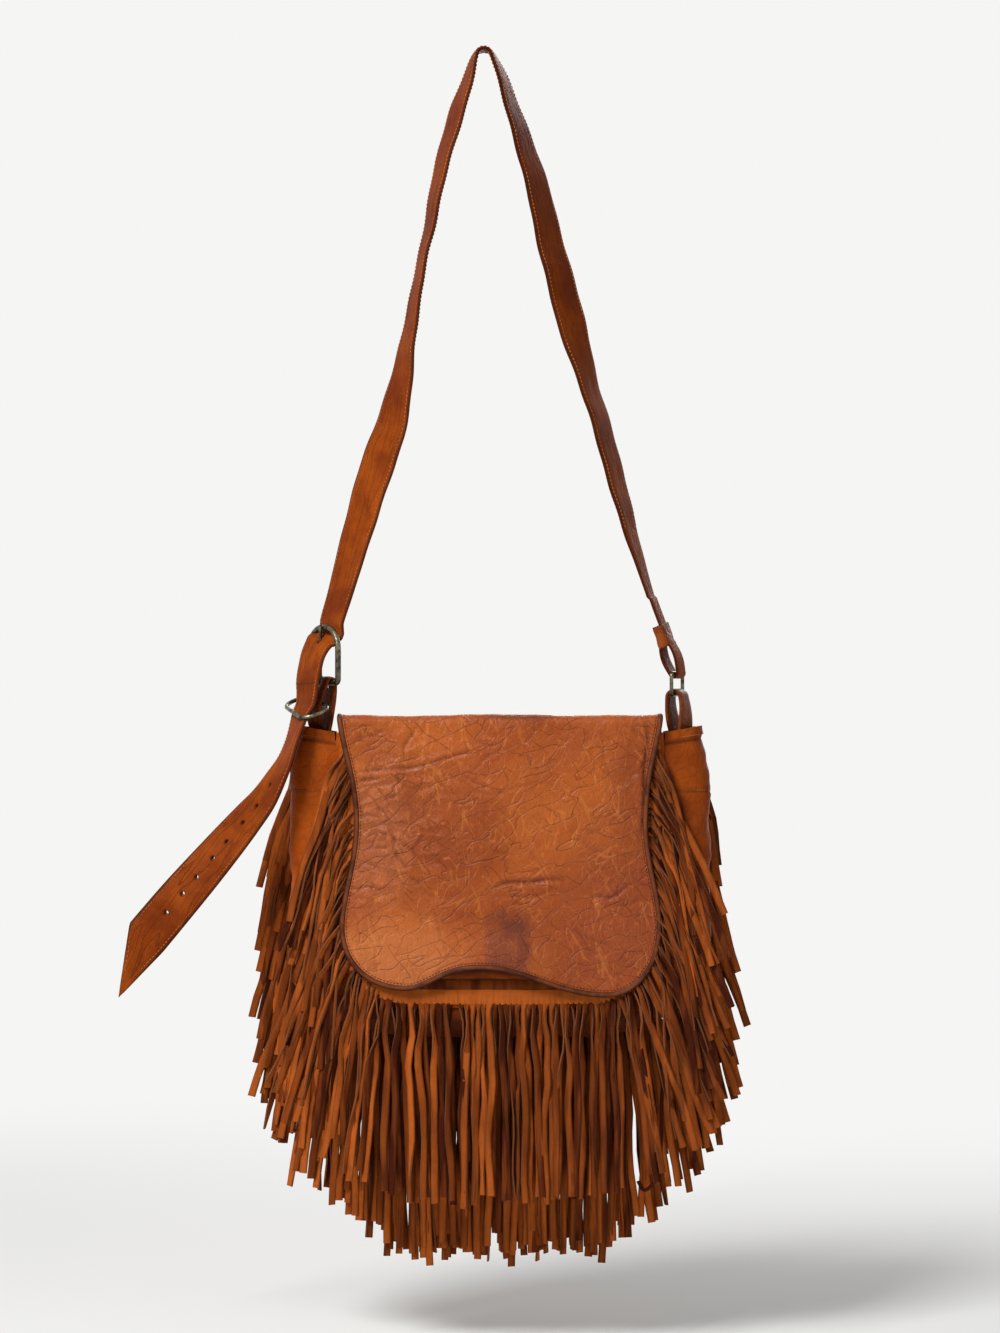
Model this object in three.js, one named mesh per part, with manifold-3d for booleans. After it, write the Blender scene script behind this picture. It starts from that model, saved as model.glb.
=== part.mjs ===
// Fringed suede shoulder bag, hanging by its strap.
// Millimetres, +Z up, +X to the right of the bag's front, -Y out of the front.
// The origin is the underside of the strap's bend, the point that it hangs from.

import * as THREE from "three";
import { mergeVertices } from "three/addons/utils/BufferGeometryUtils.js";
import Module from "manifold-3d";

const wasm = await Module();
wasm.setup();

// Clearances
const PLY_GAP = 0.3;
const RUNNING_GAP = 0.4;

// Length of the prisms that cut outlines through the whole bag
const CUTTER_DEPTH = 400;

// Where the bag hangs, measured from the hang point
const BAG_DROP = 601;
const BAG_SHIFT = 14.4;

// Body: two panels joined by one gusset strip
const HALF_DEPTH = 20;
const PANEL_THICK = 2;
const GUSSET_THICK = 2;
const PANEL_HALF_WIDTH = 147.6;
const MOUTH_DROP = 16;
const FRONT_DROP = 261;
const BACK_DROP = 279;
const BACK_TOP_DROP = 6.5;
const CORNER_RADIUS = 62;
const BOTTOM_SAG = 3;
const BELLY = 8;
const SEAM_ALLOWANCE = 5;
const GUSSET_SIDE_BULGE = 40;
const GUSSET_TOP_BULGE = 32;
const GUSSET_BOTTOM_BULGE = 18;
const GUSSET_BULGE_DROP = 110;
const GUSSET_TOP_RISE = 6;
const GUSSET_ROUNDNESS = 0.6;

// Fringe: bands sewn along the seams, cut into strands
const BAND_WIDTH = 13;
const BAND_THICK = 2;
const BAND_JOINT = -37.8;
const STRAND_WIDTH = 6.8;
const STRAND_THICK = 1.5;
const STRAND_PITCH = 8.6;
const SIDE_PITCH = 10.6;
const STRAND_TURN = 6;
const STRAND_LAYER = 2;
const STRAND_LIFT = 0.05;
const STRAND_SWAY = 2;
const STRAND_RAGGED = 5;
const FRINGE_TOP_DROP = 18;
const REACH_STEP = 8;
const REACH_SLOTS = 4;
const FRONT_FRINGE = { length: 171, sideShare: 0, reach: 5, splay: 0.07 };
const BACK_FRINGE = { length: 211, sideShare: 0.24, reach: 12, splay: 0.22 };

// Flap: an outer leather, a lining and a bound edge
const FLAP_LEATHER = 2;
const FLAP_LINING = 1.2;
const FLAP_INSET = 1.3;
const FLAP_HALF_WIDTH = PANEL_HALF_WIDTH - FLAP_INSET;
const FLAP_CORNER_RADIUS = 8;
const LEFT_WAIST_INSET = 15.5;
const RIGHT_WAIST_INSET = 14;
const LOBE_INSET = 2.5;
const WAIST_DROP = 96;
const LOBE_SIDE_DROP = 190;
const LEFT_LOBE_X = -85;
const LEFT_LOBE_DROP = 247.3;
const SCALLOP_X = -17;
const SCALLOP_DROP = 227.7;
const RIGHT_LOBE_X = 96;
const RIGHT_LOBE_DROP = 253.5;
const BINDING_WIDTH = 7;
const BINDING_THICK = 1;
const EDGE_WRAP = 1.5;

// Snap under the flap's middle
const SNAP_X = 6;
const SNAP_DROP = 190;
const SNAP_RADIUS = 7;

// Strap: one band from the ring, over the hang point, to its pointed tail
const STRAP_WIDTH = 40;
const STRAP_THICK = 4.2;
const STRAP_END_WIDTH = 26;
const STRAP_END_THICK = 3;
const HANG_RADIUS = 7;
const HOLE_RADIUS = 2.4;
const HOLE_PITCH = 20.8;
const HOLE_COUNT = 8;
const TIP_LENGTH = 57;
const TAIL_END = 88;
const WRAP_HEIGHT = 20;
const WRAP_THICK = 1.6;
const WRAP_TOP = 46;

// Tabs that hold the buckle and the ring
const TAB_THICK = 3;
const LEFT_TAB_WIDTH = 24;
const RIGHT_TAB_WIDTH = 26;
const TAB_DEPTH = 30;

// Buckle, its prong and the wire keeper
const BUCKLE_OUT = 12.1;
const BUCKLE_RISE = 28.6;
const BUCKLE_WIRE = 2.2;
const BUCKLE_HALF_WIDTH = 24.5;
const BUCKLE_HEIGHT = 50;
const BUCKLE_CORNER = 14;
const BUCKLE_TURN = 56;
const PRONG_RADIUS = 1.5;
const PRONG_EYE_WIDTH = 5;
const PRONG_EYE_WALL = 1.6;
const PRONG_OVERHANG = 2.5;
const PRONG_SWING = 4;
const PRONG_SLOT = 7;
const KEEPER_WIRE = 1.5;
const KEEPER_HALF_WIDTH = 26.3;
const KEEPER_HALF_DEPTH = 13.6;
const KEEPER_CORNER = 4;

// Ring on the right
const RING_OUT = 13;
const RING_RISE = 27.7;
const RING_WIRE = 1.75;
const RING_HALF_WIDTH = 17;
const RING_HALF_HEIGHT = 9.75;
const RING_CORNER = 3.5;
const RING_TURN = 70;
const RING_SLACK = 2.6;

// Colours and finishes
const FINISH = {
  flap: { color: 0xa4552a, roughness: 0.5 },
  body: { color: 0x9c5126, roughness: 0.6 },
  strap: { color: 0x8b4523, roughness: 0.55 },
  suede: { color: 0x9a5227, roughness: 0.95 },
  lining: { color: 0x8a5533, roughness: 0.95 },
  edge: { color: 0x4a2417, roughness: 0.55 },
  brass: { color: 0x5f5b48, roughness: 0.4, metalness: 1 },
};

const degrees = Math.PI / 180;
const quarterTurn = Math.PI / 2;
const vec = (x, y, z) => new THREE.Vector3(x, y, z);
const smooth = (t) => THREE.MathUtils.smoothstep(t, 0, 1);
const mix = THREE.MathUtils.lerp;

// Closed solids

// Turns a list of triangles, each three points, into a closed solid for joining and cutting.
function solidFromGeometry(geometry) {
  const bare = new THREE.BufferGeometry();
  bare.setAttribute("position", geometry.getAttribute("position").clone());
  if (geometry.index) bare.setIndex(geometry.index.clone());
  const merged = mergeVertices(bare, 1e-4);
  return new wasm.Manifold(
    new wasm.Mesh({
      numProp: 3,
      vertProperties: new Float32Array(merged.attributes.position.array),
      triVerts: new Uint32Array(merged.index.array),
    }),
  );
}

function geometryFromSolid(solid) {
  const mesh = solid.getMesh();
  const geometry = new THREE.BufferGeometry();
  geometry.setAttribute("position", new THREE.BufferAttribute(mesh.vertProperties, 3));
  geometry.setIndex(new THREE.BufferAttribute(mesh.triVerts, 1));
  return geometry;
}

function geometryFromTriangles(points, triangles) {
  const geometry = new THREE.BufferGeometry().setFromPoints(points);
  geometry.setIndex(triangles);
  return geometry;
}

// A band carried through a list of rings with as many points each.
// It closes on itself, or each end is closed across the ring, from its first half to its second.
function sweep(rings, closed = false) {
  const count = rings[0].length;
  const points = rings.flat();
  const triangles = [];
  const spans = closed ? rings.length : rings.length - 1;
  for (let i = 0; i < spans; i++) {
    const next = (i + 1) % rings.length;
    for (let j = 0; j < count; j++) {
      const k = (j + 1) % count;
      const a = i * count + j;
      const b = i * count + k;
      const c = next * count + k;
      const d = next * count + j;
      if (j < count / 2) triangles.push(a, b, c, a, c, d);
      else triangles.push(a, b, d, b, c, d);
    }
  }
  if (!closed) {
    const last = (rings.length - 1) * count;
    for (let j = 0; j < count / 2 - 1; j++) {
      const [a, b, c, d] = [j, j + 1, count - 2 - j, count - 1 - j];
      triangles.push(a, c, b, a, d, c);
      triangles.push(last + a, last + b, last + c, last + a, last + c, last + d);
    }
  }
  const solid = solidFromGeometry(geometryFromTriangles(points, triangles));
  return solid.volume() < 0 ? solidFromGeometry(reversed(points, triangles)) : solid;
}

function reversed(points, triangles) {
  const turned = [];
  for (let i = 0; i < triangles.length; i += 3) {
    turned.push(triangles[i], triangles[i + 2], triangles[i + 1]);
  }
  return geometryFromTriangles(points, turned);
}

// A sheet between two grids of points: rings of the outer row and the inner row, back to front.
function sheet(outer, inner) {
  return sweep(outer.map((row, i) => [...row, ...inner[i].toReversed()]));
}

// A flat band at each station: centre, width direction, thickness direction, two half widths.
function bandRing({ centre, across, normal, low, high, thick }) {
  const at = (w, n) => centre.clone().addScaledVector(across, w).addScaledVector(normal, n);
  const half = thick / 2;
  return [at(low, -half), at(high, -half), at(high, half), at(low, half)];
}

const band = (stations) => sweep(stations.map(bandRing));

// A round wire carried round a closed path that lies in one plane.
function wireLoop(points, planeNormal, radius, sides = 8) {
  const rings = points.map((point, i) => {
    const before = points[(i + points.length - 1) % points.length];
    const after = points[(i + 1) % points.length];
    const along = after.clone().sub(before).normalize();
    const out = new THREE.Vector3().crossVectors(along, planeNormal).normalize();
    return Array.from({ length: sides }, (_, k) => {
      const angle = ((k + 0.5) / sides) * 2 * Math.PI;
      return point
        .clone()
        .addScaledVector(out, radius * Math.cos(angle))
        .addScaledVector(planeNormal, radius * Math.sin(angle));
    });
  });
  return sweep(rings, true);
}

// The outline of a rectangle with round corners, as points in the plane of two directions.
function roundedLoop(centre, right, up, halfWidth, halfHeight, cornerLow, cornerHigh) {
  const corners = [
    [1, 1, cornerHigh],
    [-1, 1, cornerHigh],
    [-1, -1, cornerLow],
    [1, -1, cornerLow],
  ];
  return corners.flatMap(([sx, sy, radius], turns) =>
    [0, 0.5, 1].map((step) => {
      const angle = (turns + step) * quarterTurn;
      return centre
        .clone()
        .addScaledVector(right, sx * (halfWidth - radius) + radius * Math.cos(angle))
        .addScaledVector(up, sy * (halfHeight - radius) + radius * Math.sin(angle));
    }),
  );
}

// A box or a rod set at a centre, by the directions of its own X and Y.
function placed(geometry, centre, right, up) {
  const third = new THREE.Vector3().crossVectors(right, up);
  const matrix = new THREE.Matrix4().makeBasis(right, up, third).setPosition(centre);
  return solidFromGeometry(geometry.clone().applyMatrix4(matrix));
}

// An outline in X and Z, carried far past the bag's front and back.
function prism(shape) {
  const depth = CUTTER_DEPTH;
  const geometry = new THREE.ExtrudeGeometry(shape, { depth, bevelEnabled: false, curveSegments: 5 });
  geometry.rotateX(quarterTurn);
  geometry.translate(0, depth / 2, 0);
  return solidFromGeometry(geometry);
}

// The bag's seams

// The U of a panel's seam: down one side, round the bottom and up the other.
// A place on it is given by its length from the top left, and has a direction outwards.
function seam(top, bottom) {
  const side = bottom - top - CORNER_RADIUS;
  const arc = (CORNER_RADIUS * Math.PI) / 2;
  const floor = 2 * (PANEL_HALF_WIDTH - CORNER_RADIUS);
  const length = 2 * side + 2 * arc + floor;
  const inner = PANEL_HALF_WIDTH - CORNER_RADIUS;
  function half(s) {
    if (s < side) return { x: -PANEL_HALF_WIDTH, z: -top - s, nx: -1, nz: 0 };
    if (s < side + arc) {
      const angle = (s - side) / CORNER_RADIUS;
      const nx = -Math.cos(angle);
      const nz = -Math.sin(angle);
      return {
        x: -inner + CORNER_RADIUS * nx,
        z: -bottom + CORNER_RADIUS + CORNER_RADIUS * nz,
        nx,
        nz,
      };
    }
    return { x: -inner + (s - side - arc), z: -bottom, nx: 0, nz: -1 };
  }
  function at(s) {
    const mirrored = s > length / 2;
    const p = half(mirrored ? length - s : s);
    const x = mirrored ? -p.x : p.x;
    const sag = BOTTOM_SAG * (1 - (x / PANEL_HALF_WIDTH) ** 2);
    return { x, z: p.z - sag, nx: mirrored ? -p.nx : p.nx, nz: p.nz };
  }
  const stops = [];
  const straight = 3;
  const round = 5;
  for (let i = 0; i < straight; i++) stops.push((side * i) / straight);
  for (let i = 0; i < round; i++) stops.push(side + (arc * i) / round);
  for (let i = 0; i <= straight; i++) stops.push(side + arc + (floor * i) / straight);
  for (let i = 1; i <= round; i++) stops.push(side + arc + floor + (arc * i) / round);
  for (let i = 1; i <= straight; i++) stops.push(length - side + (side * i) / straight);
  return { top, bottom, side, arc, length, at, stops };
}

const frontSeam = seam(MOUTH_DROP, FRONT_DROP);
const backSeam = seam(MOUTH_DROP, BACK_DROP);

// How far the filled front bulges forward: nothing under the bands, most in the middle.
function belly(x, z) {
  const across = Math.max(0, 1 - (x / (PANEL_HALF_WIDTH - BAND_WIDTH)) ** 2);
  const down = THREE.MathUtils.clamp(-z / (FRONT_DROP - 2 * BAND_WIDTH), 0, 1);
  return BELLY * across * Math.sin(Math.PI * down);
}

// How far the gusset stands out beyond the seam, by the distance from its end.
function gussetBulge(distance) {
  const down = smooth(distance / GUSSET_BULGE_DROP);
  const side = mix(GUSSET_TOP_BULGE, GUSSET_SIDE_BULGE, down);
  const bottom = smooth((distance - frontSeam.side) / frontSeam.arc);
  return mix(side, GUSSET_BOTTOM_BULGE, bottom);
}

// Depths of the layers in front of the gusset, each from the one behind it
const panelBack = HALF_DEPTH + PLY_GAP;
const panelFront = panelBack + PANEL_THICK;
const bandBack = panelFront + PLY_GAP;
const bandFront = bandBack + BAND_THICK;
const liningBack = bandFront + PLY_GAP + BINDING_THICK + PLY_GAP;
const liningFront = liningBack + FLAP_LINING;
const leatherBack = liningFront + PLY_GAP;
const leatherFront = leatherBack + FLAP_LEATHER;

// Body pieces

// A panel is rows across the bag, as wide at each height as its seam.
function panel(top, bottom, seamTop, side, bulge) {
  const near = side * panelBack;
  const far = side * panelFront;
  const edge = 1 - BAND_WIDTH / PANEL_HALF_WIDTH;
  const columns = [-1, -edge, -0.6, -0.3, 0, 0.3, 0.6, edge, 1];
  const drops = [top];
  const cornerTop = bottom - CORNER_RADIUS;
  for (let i = 1; i <= 4; i++) drops.push(mix(Math.max(top, seamTop), cornerTop, i / 4));
  for (let i = 1; i <= 5; i++) drops.push(cornerTop + CORNER_RADIUS * Math.sin(i * 18 * degrees));
  const row = (drop, y) => {
    const into = Math.max(0, drop - cornerTop);
    const round = CORNER_RADIUS - Math.sqrt(Math.max(0, CORNER_RADIUS ** 2 - into ** 2));
    const half = PANEL_HALF_WIDTH - round;
    return columns.map((share) => {
      const x = half * share;
      const sag = smooth((drop - top) / (bottom - top)) * BOTTOM_SAG;
      const z = -drop - sag * (1 - (x / PANEL_HALF_WIDTH) ** 2);
      return vec(x, y + side * bulge(x, z), z);
    });
  };
  return sheet(
    drops.map((drop) => row(drop, far)),
    drops.map((drop) => row(drop, near)),
  );
}

// The gusset's section: a flange behind each panel, and a round fold between them.
function gusset() {
  const folds = [-90, -62, -36, 0, 36, 62, 90];
  const section = (bulge) => [
    { out: -SEAM_ALLOWANCE, y: -HALF_DEPTH },
    ...folds.map((fold) => ({
      out: Math.abs(fold) === 90 ? 0 : bulge * Math.abs(Math.cos(fold * degrees)) ** GUSSET_ROUNDNESS,
      y: HALF_DEPTH * Math.sin(fold * degrees),
    })),
    { out: -SEAM_ALLOWANCE, y: HALF_DEPTH },
  ];
  const inwards = (points) =>
    points.map((point, i) => {
      const a = points[Math.max(0, i - 1)];
      const b = points[Math.min(points.length - 1, i + 1)];
      const length = Math.hypot(b.out - a.out, b.y - a.y);
      return {
        out: point.out - (GUSSET_THICK * (b.y - a.y)) / length,
        y: point.y + (GUSSET_THICK * (b.out - a.out)) / length,
      };
    });
  const rowOf = (t, points, bulge) => {
    const front = frontSeam.at(t * frontSeam.length);
    const back = backSeam.at(t * backSeam.length);
    const end = smooth((Math.min(t, 1 - t) * frontSeam.length) / (GUSSET_BULGE_DROP / 2));
    return points.map(({ out, y }) => {
      const share = (y + HALF_DEPTH) / (2 * HALF_DEPTH);
      const rise = (1 - end) * GUSSET_TOP_RISE * Math.max(0, out / bulge);
      const x = mix(front.x, back.x, share) + out * mix(front.nx, back.nx, share);
      const z = mix(front.z, back.z, share) + out * mix(front.nz, back.nz, share);
      return vec(x, y, z + rise);
    });
  };
  const shares = frontSeam.stops.map((s) => s / frontSeam.length);
  const outer = [];
  const inner = [];
  for (const t of shares) {
    const bulge = gussetBulge(Math.min(t, 1 - t) * frontSeam.length);
    const points = section(bulge);
    outer.push(rowOf(t, points, bulge));
    inner.push(rowOf(t, inwards(points), bulge));
  }
  return sheet(outer, inner);
}

// Fringe

// The band lies flat on the panel's edge, from the seam inwards.
function fringeBand(path, side, from, to) {
  const stops = [from, ...path.stops.filter((s) => s > from + 1 && s < to - 1), to];
  return sweep(
    stops.map((s) => {
      const { x, z, nx, nz } = path.at(s);
      const corner = (inset, depth) => vec(x - nx * inset, side * depth, z - nz * inset);
      const [inner, outer] = [BAND_WIDTH, 0];
      return [corner(inner, bandFront), corner(outer, bandFront), corner(outer, bandBack), corner(inner, bandBack)];
    }),
  );
}

// One strand leaves the band square to the seam, turns down and hangs.
// On the sides it runs out to a slot of its own and steps off the panel before it falls, and it leans
// away a little as it drops, so that it hangs over those that start below it.
function strand(path, side, s, index, length, reach, splay) {
  const { x, z, nx, nz } = path.at(s);
  const square = Math.abs(nx);
  const depth = side * (bandBack + BAND_THICK / 2);
  const layer = side * STRAND_LAYER * (square > 0.5 ? 1 : index % 2);
  const sway = STRAND_SWAY * Math.sin(index * 2.4) * (1 - square);
  const drop = length - STRAND_TURN;
  const run = nx * reach * square;
  const root = BAND_WIDTH / 2;
  const width = vec(1, 0, 0);
  const seamwise = vec(-nz, 0, nx);
  if (seamwise.x < 0) seamwise.negate();
  const turning = seamwise.clone().add(width).normalize();
  const start = [x - nx * root, depth, z - nz * root, seamwise];
  const corner = [x + run * 0.75, depth, z - STRAND_TURN * 0.15, turning];
  const fall = [x + run, depth + layer, z - STRAND_TURN, width];
  const end = [x + run + nx * splay * drop + sway, depth + layer + side * STRAND_LIFT * drop, z - length, width];
  const stops = square > 0.3 ? [start, corner, fall, end] : [start, fall, end];
  return band(
    stops.map(([px, py, pz, across]) => ({
      centre: vec(px, py, pz),
      across,
      normal: vec(0, 1, 0),
      low: -STRAND_WIDTH / 2,
      high: STRAND_WIDTH / 2,
      thick: STRAND_THICK,
    })),
  );
}

// Strands stand a pitch apart, wider on the sides, where they hang one over another.
function fringe(path, side, from, to, style) {
  const parts = [fringeBand(path, side, from, to)];
  let s = from + STRAND_WIDTH;
  for (let i = 0; s < to - STRAND_WIDTH / 2; i++) {
    const square = Math.abs(path.at(s).nx);
    const slot = REACH_SLOTS - 1 - (i % REACH_SLOTS);
    const ragged = STRAND_RAGGED * Math.sin(i * 1.7);
    const length = style.length * (1 - style.sideShare * square) + ragged;
    parts.push(strand(path, side, s, i, length, style.reach + REACH_STEP * slot, style.splay));
    s += mix(STRAND_PITCH, SIDE_PITCH, square);
  }
  return wasm.Manifold.union(parts);
}

// Flap

// The flap's outline seen from the front, drawn inset from its edge.
// The side edges run to a waist and out again to round lobes with a scallop between them.
function flapOutline(inset, topRoom) {
  const shape = new THREE.Shape();
  const top = topRoom;
  const left = -FLAP_HALF_WIDTH + inset;
  const right = FLAP_HALF_WIDTH - inset;
  const leftWaist = left + LEFT_WAIST_INSET;
  const rightWaist = right - RIGHT_WAIST_INSET;
  const leftLobe = left + LOBE_INSET;
  const rightLobe = right - LOBE_INSET / 2;
  const leftLow = -LEFT_LOBE_DROP + inset;
  const rightLow = -RIGHT_LOBE_DROP + inset;
  const scallop = -SCALLOP_DROP + inset;
  const middle = -LOBE_SIDE_DROP;
  const waist = -WAIST_DROP;
  shape.moveTo(right, top);
  shape.lineTo(left, top);
  shape.lineTo(left, 0);
  shape.bezierCurveTo(left + 2, waist * 0.3, leftWaist, waist * 0.6, leftWaist, waist);
  shape.bezierCurveTo(leftWaist, mix(waist, middle, 0.4), leftLobe, mix(waist, middle, 0.72), leftLobe, middle);
  shape.bezierCurveTo(
    leftLobe, mix(middle, leftLow, 0.6),
    mix(leftLobe, LEFT_LOBE_X, 0.42), leftLow,
    LEFT_LOBE_X, leftLow,
  );
  shape.bezierCurveTo(
    mix(LEFT_LOBE_X, SCALLOP_X, 0.34), leftLow,
    mix(LEFT_LOBE_X, SCALLOP_X, 0.44), scallop,
    SCALLOP_X, scallop,
  );
  shape.bezierCurveTo(
    mix(SCALLOP_X, RIGHT_LOBE_X, 0.36), scallop,
    mix(SCALLOP_X, RIGHT_LOBE_X, 0.6), rightLow,
    RIGHT_LOBE_X, rightLow,
  );
  shape.bezierCurveTo(
    mix(RIGHT_LOBE_X, rightLobe, 0.57), rightLow,
    rightLobe, mix(middle, rightLow, 0.57),
    rightLobe, middle,
  );
  shape.bezierCurveTo(rightLobe, mix(middle, waist, 0.3), rightWaist, mix(middle, waist, 0.6), rightWaist, waist);
  shape.bezierCurveTo(rightWaist, waist * 0.55, right - 2, waist * 0.27, right, 0);
  return shape;
}

// The flap's section from its rear edge, over the top and down the front.
// Each point has the depth and height of the outer face, and the direction outwards.
const rearFace = panelFront + 1;
const hingeDrop = BACK_TOP_DROP - PLY_GAP;

function flapSection() {
  const r = FLAP_CORNER_RADIUS;
  const rearRadius = hingeDrop * 0.8;
  const points = [];
  points.push({ y: rearFace, z: -hingeDrop, ny: 1, nz: 0 });
  for (const angle of [10, 90]) {
    const ny = Math.cos(angle * degrees);
    const nz = Math.sin(angle * degrees);
    points.push({ y: rearFace - rearRadius + rearRadius * ny, z: -rearRadius + rearRadius * nz, ny, nz });
  }
  for (const angle of [90, 45, 0]) {
    const ny = -Math.cos(angle * degrees);
    const nz = Math.sin(angle * degrees);
    points.push({ y: -leatherFront + r + r * ny, z: -r + r * nz, ny, nz });
  }
  const rows = 6;
  const low = RIGHT_LOBE_DROP + 10;
  for (let i = 1; i <= rows; i++) {
    points.push({ y: -leatherFront, z: mix(-r, -low, i / rows), ny: -1, nz: 0 });
  }
  return points;
}

// One ply of the flap, between two depths under the outer face.
function flapSheet(outerDepth, innerDepth) {
  const columns = 6;
  const halfWidth = FLAP_HALF_WIDTH + 12;
  const section = flapSection();
  const row = ({ y, z, ny, nz }, depth) =>
    Array.from({ length: columns + 1 }, (_, i) => {
      const x = halfWidth * ((2 * i) / columns - 1);
      const bulge = ny < 0 ? belly(x, z) * -ny : 0;
      return vec(x, y - ny * depth - bulge, z - nz * depth);
    });
  return sheet(
    section.map((point) => row(point, outerDepth)),
    section.map((point) => row(point, innerDepth)),
  );
}

const topRoom = 30;
const plies = FLAP_LEATHER + PLY_GAP + FLAP_LINING;

function flapLeather() {
  return flapSheet(0, FLAP_LEATHER).intersect(prism(flapOutline(EDGE_WRAP, topRoom)));
}

function flapLining() {
  return flapSheet(FLAP_LEATHER + PLY_GAP, plies).intersect(prism(flapOutline(EDGE_WRAP, topRoom)));
}

// The binding folds round the sides and the bottom of both plies.
function flapBinding() {
  const whole = flapSheet(-PLY_GAP - BINDING_THICK, plies + PLY_GAP + BINDING_THICK);
  const rim = prism(flapOutline(0, topRoom)).subtract(prism(flapOutline(BINDING_WIDTH, topRoom + 5)));
  const inside = flapSheet(-PLY_GAP, plies + PLY_GAP).intersect(
    prism(flapOutline(EDGE_WRAP - PLY_GAP, topRoom + 5)),
  );
  return whole.intersect(rim).subtract(inside);
}

// Snap: a stud on the lining and a socket on the front panel, face to face.
// Each disc lies along the bulge of the front.
function snapDisc(depth) {
  const step = 1;
  const rise = belly(SNAP_X, -SNAP_DROP + step) - belly(SNAP_X, -SNAP_DROP - step);
  const out = vec(0, -1, -rise / (2 * step)).normalize();
  const right = vec(1, 0, 0);
  const centre = vec(SNAP_X, -depth - belly(SNAP_X, -SNAP_DROP), -SNAP_DROP);
  const disc = new THREE.CylinderGeometry(SNAP_RADIUS, SNAP_RADIUS, snapThick, 20);
  return placed(disc, centre, right, out);
}

const snapRoom = liningBack - panelFront;
const snapThick = (snapRoom - 3 * PLY_GAP) / 2;
const socketDepth = panelFront + PLY_GAP + snapThick / 2;
const studDepth = socketDepth + snapThick + PLY_GAP;

// Strap, buckle, ring and tabs

const bagPlace = vec(BAG_SHIFT, 0, -BAG_DROP);
const heel = vec(-PANEL_HALF_WIDTH - BUCKLE_OUT, 0, BUCKLE_RISE);
const buckleAcross = vec(Math.cos(BUCKLE_TURN * degrees), -Math.sin(BUCKLE_TURN * degrees), 0);
const buckleFront = vec(-Math.sin(BUCKLE_TURN * degrees), -Math.cos(BUCKLE_TURN * degrees), 0);
const ringCentre = vec(PANEL_HALF_WIDTH + RING_OUT, 0, RING_RISE);
const ringAcross = vec(-Math.cos(RING_TURN * degrees), -Math.sin(RING_TURN * degrees), 0);
const ringFront = vec(Math.sin(RING_TURN * degrees), -Math.cos(RING_TURN * degrees), 0);
const up = vec(0, 0, 1);
const forward = vec(0, -1, 0);

const inBuckle = (n, t, u = 0) =>
  heel.clone().addScaledVector(buckleFront, n).addScaledVector(up, t).addScaledVector(buckleAcross, u);

function buckleFrame() {
  const centre = inBuckle(0, BUCKLE_HEIGHT / 2);
  const path = roundedLoop(
    centre, buckleAcross, up,
    BUCKLE_HALF_WIDTH, BUCKLE_HEIGHT / 2,
    BUCKLE_WIRE + 2, BUCKLE_CORNER,
  );
  return wireLoop(path, buckleFront, BUCKLE_WIRE);
}

// The prong turns on the heel bar and rests on the front of the top bar.
const prongRest = BUCKLE_WIRE + PLY_GAP + PRONG_RADIUS;
const eyeBore = BUCKLE_WIRE + RUNNING_GAP;
const eyeRadius = eyeBore + PRONG_EYE_WALL;

function buckleProng() {
  const eye = new THREE.CylinderGeometry(eyeRadius, eyeRadius, PRONG_EYE_WIDTH, 16);
  const bore = new THREE.CylinderGeometry(eyeBore, eyeBore, PRONG_EYE_WIDTH + 2, 16);
  const root = inBuckle(eyeRadius - PRONG_RADIUS, 0);
  const tip = inBuckle(prongRest, BUCKLE_HEIGHT + PRONG_OVERHANG);
  const along = tip.clone().sub(root);
  const rod = new THREE.CylinderGeometry(PRONG_RADIUS * 0.8, PRONG_RADIUS, along.length(), 8);
  const middle = root.clone().add(tip).multiplyScalar(0.5);
  const rodUp = along.clone().normalize();
  return placed(eye, heel, buckleFront, buckleAcross)
    .add(placed(rod, middle, buckleAcross, rodUp))
    .subtract(placed(bore, heel, buckleFront, buckleAcross));
}

// The wire keeper holds the tail against the tab, and hangs a little lower in front.
const keeperAcross = vec(0.4, -0.88, -0.24).normalize();
const keeperNormal = vec(-0.3, -0.13, 0.95).cross(keeperAcross).cross(keeperAcross).negate().normalize();
const keeperFront = new THREE.Vector3().crossVectors(keeperAcross, keeperNormal).normalize();
const keeperCentre = heel.clone().add(vec(-15, -13.2, -21.9));

function keeperLoop() {
  const path = roundedLoop(
    keeperCentre, keeperAcross, keeperFront,
    KEEPER_HALF_WIDTH, KEEPER_HALF_DEPTH,
    KEEPER_CORNER, KEEPER_CORNER,
  );
  return wireLoop(path, keeperNormal, KEEPER_WIRE);
}

function ring() {
  const path = roundedLoop(
    ringCentre, ringAcross, up,
    RING_HALF_WIDTH, RING_HALF_HEIGHT,
    RING_CORNER, RING_CORNER,
  );
  return wireLoop(path, ringFront, RING_WIRE);
}

// The strip has turned to its anchor's direction by this share of its length.
const TWIST_SHARE = 0.6;

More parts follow.
